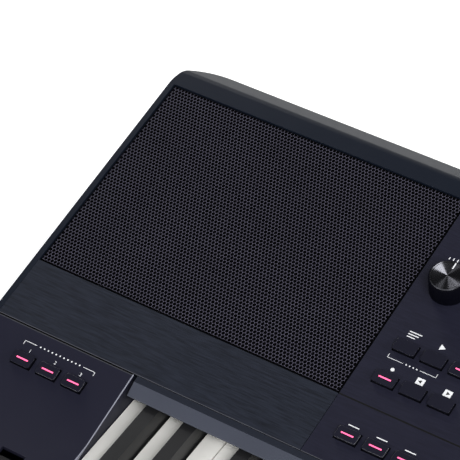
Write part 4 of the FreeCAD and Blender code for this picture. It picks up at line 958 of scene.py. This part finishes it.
class KEYBOARD_OT_buttons(Operator):
    """Finish the buttons and set their lamps"""

    bl_idname = "keyboard.buttons"
    bl_label = "Buttons and lamps"

    def execute(self, context):
        for job in (round_caps, set_lamps):
            job(*sizes_and_colours(context.scene))
        return {"FINISHED"}


KNOB_CAP = 0.7 * MM
KNOB_STEM = 3 * MM
KNOB_LIFT = 0.6 * MM
KNOB_REACH = 11.02 * MM
KNOB_LEAN = 0.38
FACE_DROP = 0.06 * MM
RING_STEP = 0.2 * MM
RING_SLOPE = 0.04
RING_COUNT = 50
POINTER_SPOT = (0.5 * MM, 8.2 * MM)
POINTER_SIZE = (0.8 * MM, 4.8 * MM, 0.4 * MM)
POINTER_SINK = 0.1 * MM
POINTER_EDGE = 0.1 * MM


def knob_frame(name):
    """Gives a knob's frame, with its origin where the axis meets the panel, and its two ends."""
    low, high = box_on(name, PANEL)
    place = at(PANEL, (low.x + high.x) / 2, (low.y + high.y) / 2)
    return place, low.z, high.z


def spun_normal(finish, place, reach, lean):
    """Leans a surface's normal outwards from an axis, as the fine grooves of spun metal do."""
    offset = finish.vector("SUBTRACT", finish.place, place.translation)
    rise = finish.vector("PROJECT", offset, place.col[2].xyz)
    spoke = finish.vector("SUBTRACT", offset, rise)
    radius = finish.vector("LENGTH", spoke, output="Value")
    share = (radius < reach) * lean / radius
    outwards = finish.node("VectorMath", {"operation": "SCALE"}, {0: spoke, "Scale": share})
    turned_with = {"vector_type": "VECTOR", "convert_from": "OBJECT", "convert_to": "WORLD"}
    outwards = finish.node("VectorTransform", turned_with, {0: outwards})
    upright = finish.node("NewGeometry", output="Normal")
    return finish.vector("NORMALIZE", finish.vector("ADD", upright, outwards))


class KEYBOARD_OT_knob(Operator):
    """Turn the master volume knob"""

    bl_idname = "keyboard.knob"
    bl_label = "Volume knob"

    def execute(self, context):
        colours = context.scene.keyboard_colours
        place, low, high = knob_frame("master_volume_knob")
        seat = high - KNOB_CAP
        side = moulded("knob_side", shade(colours.button, 0.25), 0.5, gloss=0.05)
        profile = [(0, low), (KNOB_STEM, low), (KNOB_STEM, KNOB_LIFT), (12.6 * MM, KNOB_LIFT),
                   (13 * MM, 1.0 * MM), (12.4 * MM, high - 1.5 * MM), (11.9 * MM, seat), (0, seat)]
        bm = bmesh.new()
        turned(bm, place, profile)
        piece("knob_body", bm, side, "master_volume_knob", "knob_plastic", "master_volume_knob")

        metal = uneven("knob_spun_metal", colours.knob, 0.22, 0.28, 0.3 * MM, {
            "Metallic": 1.0, "Anisotropic": 0.9, "Anisotropic Rotation": 0.25})
        metal.feed({"Normal": spun_normal(metal, place, KNOB_REACH, KNOB_LEAN)})
        face = high - FACE_DROP
        rings = [(number * RING_STEP, face + (number % 2) * RING_STEP * RING_SLOPE)
                 for number in range(RING_COUNT, 0, -1)]
        profile = [(0, seat), (11.45 * MM, seat), (11.0 * MM, high), (10.4 * MM, high), *rings, (0, face)]
        bm = bmesh.new()
        turned(bm, place, profile, 96)
        piece("knob_top", bm, metal, "master_volume_knob", "knob_plastic", sharp=5)

        ink = uneven("knob_pointer", colours.ink, 0.4, 0.6, 0.4 * MM)
        bm = bmesh.new()
        spot = at(place, *POINTER_SPOT, high - POINTER_SINK)
        slab(bm, spot, POINTER_SIZE, POINTER_EDGE)
        piece("knob_mark", bm, ink, "master_volume_knob", "knob_plastic")
        return {"FINISHED"}


DIAL_EDGE = 0.5 * MM
RIB_COUNT = 60
RIB_DEPTH = 0.5 * MM
RIB_WIDTH = 1.0 * MM
RIB_EDGE = 0.15 * MM
RIB_SHARE = 0.62
RIB_MIDDLE = 0.52


class KEYBOARD_OT_dial(Operator):
    """Finish the data dial with its ribbed grip"""

    bl_idname = "keyboard.dial"
    bl_label = "Data dial"

    def execute(self, context):
        colours = context.scene.keyboard_colours
        place, _, high = knob_frame("data_dial")
        body = moulded("dial_plastic", colours.button, 0.36)
        paint(body, "data_dial")
        soften(DIAL_EDGE, nodes("data_dial"))
        left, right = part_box("data_dial")
        radius = (right.x - left.x) / 2
        bm = bmesh.new()
        for number in range(RIB_COUNT):
            turn = Matrix.Rotation(2 * pi * number / RIB_COUNT, 4, "Z")
            spot = at(place @ turn, radius, 0, high * RIB_MIDDLE)
            slab(bm, spot, (RIB_DEPTH, RIB_WIDTH, high * RIB_SHARE), RIB_EDGE, 1)
        piece("dial_ribs", bm, body, "data_dial", "knob_plastic")
        return {"FINISHED"}


# Layout of the display's picture, in shares of the window
COLUMNS = 4
ROWS = 4
CELLS_LEFT = 0.06
CELLS_WIDTH = 0.88
CELLS_LOW = 0.10
CELLS_HEIGHT = 0.66
HEADER_LOW = 0.80
# Middle and reach of each patch: in the window, among the cells and within a cell
PICTURE = ((0.5, 0.5), (0.455, 0.43))
TITLE = ((0.20, 0.865), (0.11, 0.022))
CLOCK = ((0.86, 0.865), (0.05, 0.022))
CHOSEN = ((0.5, 3.5), (0.5, 0.5))
CELL = ((0.5, 0.5), (0.45, 0.41))
NAME_BAR = ((0.38, 0.62), (0.24, 0.07))
VALUE_BAR = ((0.30, 0.34), (0.16, 0.05))
WINDOW_EDGE = 0.25 * MM
DARK_GLASS = (0.002, 0.002, 0.003, 1)


class KEYBOARD_OT_display(Operator):
    """Light the display"""

    bl_idname = "keyboard.display"
    bl_label = "Display"

    def execute(self, context):
        colours = context.scene.keyboard_colours
        low, high = box_on("display_window", PANEL)
        glass = Finish("display_glass", colours.screen, 0.12, {
            "Coat Weight": 0.6, "Coat Roughness": 0.05, "Emission Strength": 0.9})
        across, up, _ = glass.within(PANEL)
        share = (across - low.x) / (high.x - low.x)
        level = (up - low.y) / (high.y - low.y)
        column = (share - CELLS_LEFT) * (COLUMNS / CELLS_WIDTH)
        row = (level - CELLS_LOW) * (ROWS / CELLS_HEIGHT)
        within = (column % 1, row % 1)
        cells = patch(*within, *CELL) * (row > 0) * (row < ROWS)
        names = cells * patch(*within, *NAME_BAR) + patch(share, level, *TITLE)
        values = cells * patch(*within, *VALUE_BAR) + patch(share, level, *CLOCK)
        glow = glass.blend(level > HEADER_LOW, colours.screen, shade(colours.screen, 3.2))
        glow = glass.blend(cells, glow, shade(colours.screen, 2.4))
        glow = glass.blend(cells * patch(column, row, *CHOSEN), glow, shade(colours.screen, 7.0))
        glow = glass.blend(names, glow, colours.ink)
        glow = glass.blend(values * 0.6, glow, colours.ink)
        light = patch(share, level, *PICTURE) * (glass.noise(30 * MM) * 0.2 + 0.8)
        lit = glass.blend(light, DARK_GLASS, glow)
        glass.feed({"Base Color": lit, "Emission Color": lit})
        paint(glass, "display_window")
        soften(WINDOW_EDGE, nodes("display_window"))
        return {"FINISHED"}


class KEYBOARD_OT_keys(Operator):
    """Finish the white and black keys"""

    bl_idname = "keyboard.keys"
    bl_label = "Keys"

    def execute(self, context):
        sizes, colours = sizes_and_colours(context.scene)
        white = moulded("white_key_plastic", colours.white_key, 0.24, grain=1.4 * MM, depth=0.004 * MM,
                        mottle=0.015, gloss=0.5)
        paint(white, *WHITE_KEYS)
        black = moulded("black_key_plastic", colours.black_key, 0.36, gloss=0.4)
        paint(black, *BLACK_KEYS)
        soften(sizes.key_edge, nodes(*WHITE_KEYS, *BLACK_KEYS))
        return {"FINISHED"}


WHEEL_EDGE = 0.7 * MM
WHEEL_RIM = 20 * MM
RIM_ANGLE = radians(60)
RIM_TILT = 0.01
RIDGE_SIDE = 0.2 * MM
RIDGE_DEPTH = 0.45 * MM


def grooved(name):
    """Copies a wheel's mesh, rounds its edges and sinks every second facet of its rim."""
    axle = Vector(next(row["pos_m"] for row in frame["joints"] if row["child"] == name))
    bm = copied(name)
    rounded(bm, [edge for edge in bm.edges if edge.calc_face_angle(0) > RIM_ANGLE], WHEEL_EDGE, 2)
    facets = {}
    for face in bm.faces:
        spot = face.calc_center_median() - axle
        if spot.yz.length > WHEEL_RIM and abs(face.normal.x) < RIM_TILT:
            facets[atan2(spot.z, spot.y)] = face
    grooves = [facets[angle] for angle in sorted(facets)][::2]
    bmesh.ops.inset_individual(bm, faces=grooves, thickness=RIDGE_SIDE, depth=-RIDGE_DEPTH,
                               use_even_offset=True)
    return bm


class KEYBOARD_OT_wheels(Operator):
    """Finish the pitch bend and modulation wheels"""

    bl_idname = "keyboard.wheels"
    bl_label = "Wheels"

    def execute(self, context):
        colours = context.scene.keyboard_colours
        rubber = moulded("wheel_rubber", colours.wheel, 0.55, grain=0.6 * MM, depth=0.02 * MM)
        for name in WHEELS:
            piece(f"{name}_grip", grooved(name), rubber, name, "wheel_rubber", name)
        return {"FINISHED"}


BOLD_LINE = 0.7 * MM
NUMBER_SHIFT = Vector((0.4 * MM, 7.5 * MM))
ABOVE_SOCKET = 11 * MM
ABOVE_POWER = 3.6 * MM
ABOVE_NUMBER = 3.4 * MM
ABOVE_BAR = 3.2 * MM
BAR_REACH = 3.4 * MM
TEMPO_ROW = 77.0 * MM
MENU_ROW = 103.2 * MM
TICK_ROW = 167.2 * MM
TICK_COUNT = 9


def print_block(white, sizes):
    """Prints the numbers of the assignable buttons and the bracket over them."""
    for number, name in enumerate(ASSIGN, 1):
        middle = next(caps_on(name, BLOCK))[0]
        sign(white, BLOCK, middle.xy + NUMBER_SHIFT, str(number), sizes.numeral)
    bracket(white, BLOCK, left=-468.8 * MM, right=-413.8 * MM, row=-10.2 * MM, tick=-2.5 * MM,
            width=sizes.ink_width, arm=9 * MM, dots=11)


def print_left_panel(white, dark, sizes):
    """Prints the signs round the volume knob and the six small buttons."""
    bracket(white, PANEL, left=-252.9 * MM, right=-218.2 * MM, row=83.9 * MM, tick=2.7 * MM,
            width=sizes.ink_width, arm=11 * MM, dots=4)
    for across, turn in ((-225.3 * MM, pi / 2), (-205.8 * MM, -pi / 2)):
        spot = Vector((across, TEMPO_ROW))
        slab(white, at(PANEL, *spot), (5.4 * MM, 4.8 * MM, 2 * PROUD))
        polygon(dark, PANEL, spot, 1.6 * MM, 3, turn, 2 * PROUD)
    for number in range(3):
        row = MENU_ROW + 2 * MM * number
        stroke(white, PANEL, (-249.5 * MM, row), (-244.5 * MM + 1.6 * MM * number, row), BOLD_LINE)
    polygon(white, PANEL, (-225.6 * MM, MENU_ROW + 2 * MM), 2.6 * MM, 3, -pi / 2)
    polygon(white, PANEL, (-245.2 * MM, TEMPO_ROW), 1.3 * MM, 24, 0)
    for number in range(TICK_COUNT):
        across = -255.0 * MM + 2.9 * MM * number
        end = TICK_ROW + 1.0 * MM + 0.32 * MM * number
        stroke(white, PANEL, (across, TICK_ROW), (across, end), BOLD_LINE)

    middle, size = next(caps_on("power_button", PANEL))
    spot = Vector((middle.x, middle.y + size.y / 2 + ABOVE_POWER))
    ring(white, PANEL, spot, 1.6 * MM, sizes.ink_width)
    stroke(white, PANEL, spot + Vector((0, 0.4 * MM)), spot + Vector((0, 2.0 * MM)), sizes.ink_width)


def print_strips(white, sizes):
    """Prints a number, a bar or an arrow beside each button of the strips."""
    for number, (middle, size) in enumerate(caps_on("registration_buttons", PANEL), 1):
        spot = (middle.x, middle.y + size.y / 2 + ABOVE_NUMBER)
        sign(white, PANEL, spot, str(number), sizes.numeral)
    below_display = box_on("display_window", PANEL)[0].y
    for name in ("style_control_buttons", "voice_buttons", "display_buttons"):
        for middle, size in caps_on(name, PANEL):
            if name == "display_buttons" and middle.y > below_display:
                side = -1 if middle.x > 0 else 1
                reach = middle.x + side * (size.x / 2 + 1.9 * MM)
                polygon(white, PANEL, (reach, middle.y), 1.1 * MM, 3, -side * pi / 2)
            else:
                row = middle.y + size.y / 2 + ABOVE_BAR
                stroke(white, PANEL, (middle.x - BAR_REACH, row), (middle.x + BAR_REACH, row), BOLD_LINE)


class KEYBOARD_OT_marks(Operator):
    """Print the plain signs on the panel, the left block and the rear"""

    bl_idname = "keyboard.marks"
    bl_label = "Printed signs"

    def execute(self, context):
        sizes, colours = sizes_and_colours(context.scene)
        white = bmesh.new()
        dark = bmesh.new()
        print_block(white, sizes)
        print_left_panel(white, dark, sizes)
        for number, across in enumerate(SOCKETS, 1):
            sign(white, REAR, (-across, SOCKET_ROW + ABOVE_SOCKET), str(number), sizes.numeral)
        print_strips(white, sizes)
        ink = uneven("print_ink", colours.ink, 0.45, 0.65, 0.3 * MM)
        piece("panel_print", white, ink, "case", "case_plastic")
        black = uneven("arrow_ink", (0.008, 0.008, 0.010, 1), 0.4, 0.6, 0.3 * MM)
        piece("panel_arrows", dark, black, "case", "case_plastic")
        return {"FINISHED"}


SOCKET_HOLE = 3.4 * MM
PIN_RADIUS = 1.0 * MM
WALL = 0.3 * MM
WALL_INSET = 0.2 * MM
WALL_LENGTH = 8.8 * MM
WALL_EDGE = 0.05 * MM
WALL_GAP = 0.1 * MM
PORT_DEPTH = 4.2 * MM
TONGUE_LENGTH = 7 * MM
TONGUE_SINK = 0.6 * MM
TONGUE_EDGE = 0.2 * MM
CONTACTS = 4
CONTACT_SIZE = (0.9 * MM, 0.16 * MM, 5 * MM)
CONTACT_RISE = 0.2 * MM
CONTACT_EDGE = 0.04 * MM
# A port's place, the width and height of its shell, and the width, height and rise of its tongue
PORTS = ((SOCKETS[3], 12.6 * MM, 5.2 * MM, (11.0 * MM, 1.8 * MM, 1.2 * MM)),
         (SOCKETS[4], 8.6 * MM, 7.9 * MM, (5.6 * MM, 3.2 * MM, 0)))
FOOT_EDGE = 0.8 * MM


def ring_sockets(bm, outer):
    """Adds a ring round each round socket, and the pin of the power inlet."""
    profile = [(SOCKET_HOLE, -1 * MM), (outer, -1 * MM), (outer, 0.7 * MM), (outer - 0.5 * MM, 1.1 * MM),
               (3.9 * MM, 1.1 * MM), (SOCKET_HOLE, 0.6 * MM), (SOCKET_HOLE, -1 * MM)]
    for across in SOCKETS[:3]:
        turned(bm, at(REAR, -across, SOCKET_ROW), profile)
    pin = [(0, -9.5 * MM), (PIN_RADIUS, -9.5 * MM), (PIN_RADIUS, -1.2 * MM), (0.7 * MM, -0.8 * MM),
           (0, -0.8 * MM)]
    turned(bm, at(REAR, -SOCKETS[2], SOCKET_ROW), pin, 24)


def line_port(shells, tongues, across, wide, high, tongue):
    """Adds the metal shell of a data port, its plastic tongue and the contacts on that."""
    place = at(REAR, -across, SOCKET_ROW, -PORT_DEPTH)
    for side in (-1, 1):
        level = at(place, 0, side * (high / 2 - WALL_INSET))
        slab(shells, level, (wide - WALL_GAP, WALL, WALL_LENGTH), WALL_EDGE)
        upright = at(place, side * (wide / 2 - WALL_INSET), 0)
        slab(shells, upright, (WALL, high - WALL_GAP, WALL_LENGTH), WALL_EDGE)
    width, height, rise = tongue
    slab(tongues, at(place, 0, rise, -TONGUE_SINK), (width, height, TONGUE_LENGTH), TONGUE_EDGE)
    for number in range(CONTACTS):
        shift = (number - (CONTACTS - 1) / 2) * width / (CONTACTS + 1)
        slab(shells, at(place, shift, rise - height / 2, CONTACT_RISE), CONTACT_SIZE, CONTACT_EDGE)


class KEYBOARD_OT_rear(Operator):
    """Finish the sockets, the screws and the feet"""

    bl_idname = "keyboard.rear"
    bl_label = "Sockets, screws and feet"

    def execute(self, context):
        sizes, colours = sizes_and_colours(context.scene)
        metal = uneven("bright_metal", colours.metal, 0.22, 0.38, 0.6 * MM, {"Metallic": 1.0})
        rings = bmesh.new()
        ring_sockets(rings, sizes.ring_width)
        piece("socket_rings", rings, metal, "case", "screw_steel")

        shells = bmesh.new()
        tongues = bmesh.new()
        for port in PORTS:
            line_port(shells, tongues, *port)
        piece("port_shells", shells, metal, "case", "screw_steel")
        tongue = moulded("port_tongue_plastic", (0.55, 0.55, 0.53, 1), 0.5)
        piece("port_tongues", tongues, tongue, "case", "inner_plastic")
        paint(metal, "case_screws")

        socket = moulded("socket_plastic", (0.008, 0.008, 0.009, 1), 0.5)
        paint(socket, "rear_jacks", "wheel_bracket", "control_pots", "key_chassis", "lcd_module")
        foot = moulded("foot_rubber", (0.018, 0.018, 0.018, 1), 0.8, grain=0.8 * MM, depth=0.05 * MM)
        paint(foot, "rubber_feet", "key_contact_rubber")
        soften(FOOT_EDGE, nodes("rubber_feet"))
        return {"FINISHED"}


def fibrous(name, dark, light, roughness, size, depth, sockets=None):
    """Makes a finish of fine fibres between a dark and a light colour."""
    finish = Finish(name, dark, roughness, sockets)
    fibre = finish.noise(size, 4.0)
    finish.feed({"Base Color": finish.blend(fibre, dark, light), "Normal": finish.bump(fibre, depth)})
    return finish


class KEYBOARD_OT_inside(Operator):
    """Finish the boards, the speakers and the felts"""

    bl_idname = "keyboard.inside"
    bl_label = "Inside"

    def execute(self, context):
        matt = {"Specular IOR Level": 0.1}
        board = uneven("circuit_board", (0.010, 0.075, 0.030, 1), 0.35, 0.55, 2 * MM)
        tracks = board.node("TexBrick", None, {
            "Vector": board.place, "Scale": 90.0, "Mortar Size": 0.03, "Mortar": (0.02, 0.13, 0.05, 1),
            "Color1": (0.008, 0.06, 0.024, 1), "Color2": (0.012, 0.09, 0.036, 1)}, "Color")
        board.feed({"Base Color": tracks})
        paint(board, "switch_boards", "main_board", "amp_board", "key_contact_board")
        steel = uneven("speaker_paint", (0.0016, 0.0016, 0.0018, 1), 0.45, 0.75, 3 * MM, matt)
        paint(steel, "speaker_baskets")
        paper = fibrous("cone_paper", (0.001, 0.001, 0.0012, 1), (0.003, 0.003, 0.0033, 1), 0.9,
                        0.9 * MM, 0.15 * MM, matt)
        paint(paper, "speaker_cones")
        magnet = moulded("magnet_ferrite", (0.05, 0.05, 0.052, 1), 0.7)
        paint(magnet, "speaker_magnets")
        felt = fibrous("key_felt", (0.20, 0.012, 0.02, 1), (0.40, 0.03, 0.045, 1), 0.95,
                       0.5 * MM, 0.2 * MM)
        paint(felt, "key_felts")
        return {"FINISHED"}


STEPS = (KEYBOARD_OT_stage, KEYBOARD_OT_case, KEYBOARD_OT_grilles, KEYBOARD_OT_buttons, KEYBOARD_OT_knob,
         KEYBOARD_OT_dial, KEYBOARD_OT_display, KEYBOARD_OT_keys, KEYBOARD_OT_wheels, KEYBOARD_OT_marks,
         KEYBOARD_OT_rear, KEYBOARD_OT_inside)


SETTINGS = {
    "keyboard_sizes": KeyboardSizes,
    "keyboard_colours": KeyboardColours,
    "keyboard_stage": KeyboardStage,
}


class KEYBOARD_PT_steps(Panel):
    """Lists the steps that finish the keyboard, and their settings"""

    bl_idname = "KEYBOARD_PT_steps"
    bl_label = "Arranger Keyboard"
    bl_space_type = "VIEW_3D"
    bl_region_type = "UI"
    bl_category = "Keyboard"

    def draw(self, context):
        for step in STEPS:
            self.layout.operator(step.bl_idname)
        for group, kind in SETTINGS.items():
            box = self.layout.box()
            for name in kind.__annotations__:
                box.prop(getattr(context.scene, group), name)


def register():
    """Registers the classes and their settings."""
    for kind in (*SETTINGS.values(), *STEPS, KEYBOARD_PT_steps):
        bpy.utils.register_class(kind)
    for name, kind in SETTINGS.items():
        setattr(bpy.types.Scene, name, PointerProperty(type=kind))


def unregister():
    """Removes the classes and their settings."""
    for name in SETTINGS:
        delattr(bpy.types.Scene, name)
    for kind in (KEYBOARD_PT_steps, *reversed(STEPS), *SETTINGS.values()):
        bpy.utils.unregister_class(kind)


def main():
    """Finishes the keyboard step by step."""
    register()
    for step in STEPS:
        getattr(bpy.ops.keyboard, step.bl_idname.split(".")[1])()
    bpy.context.view_layer.update()
    boxes = {"cad": CAD_BOX, "visual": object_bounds()}
    {name: [list(corner) for corner in box] for name, box in boxes.items()}


if __name__ == "__main__":
    main()
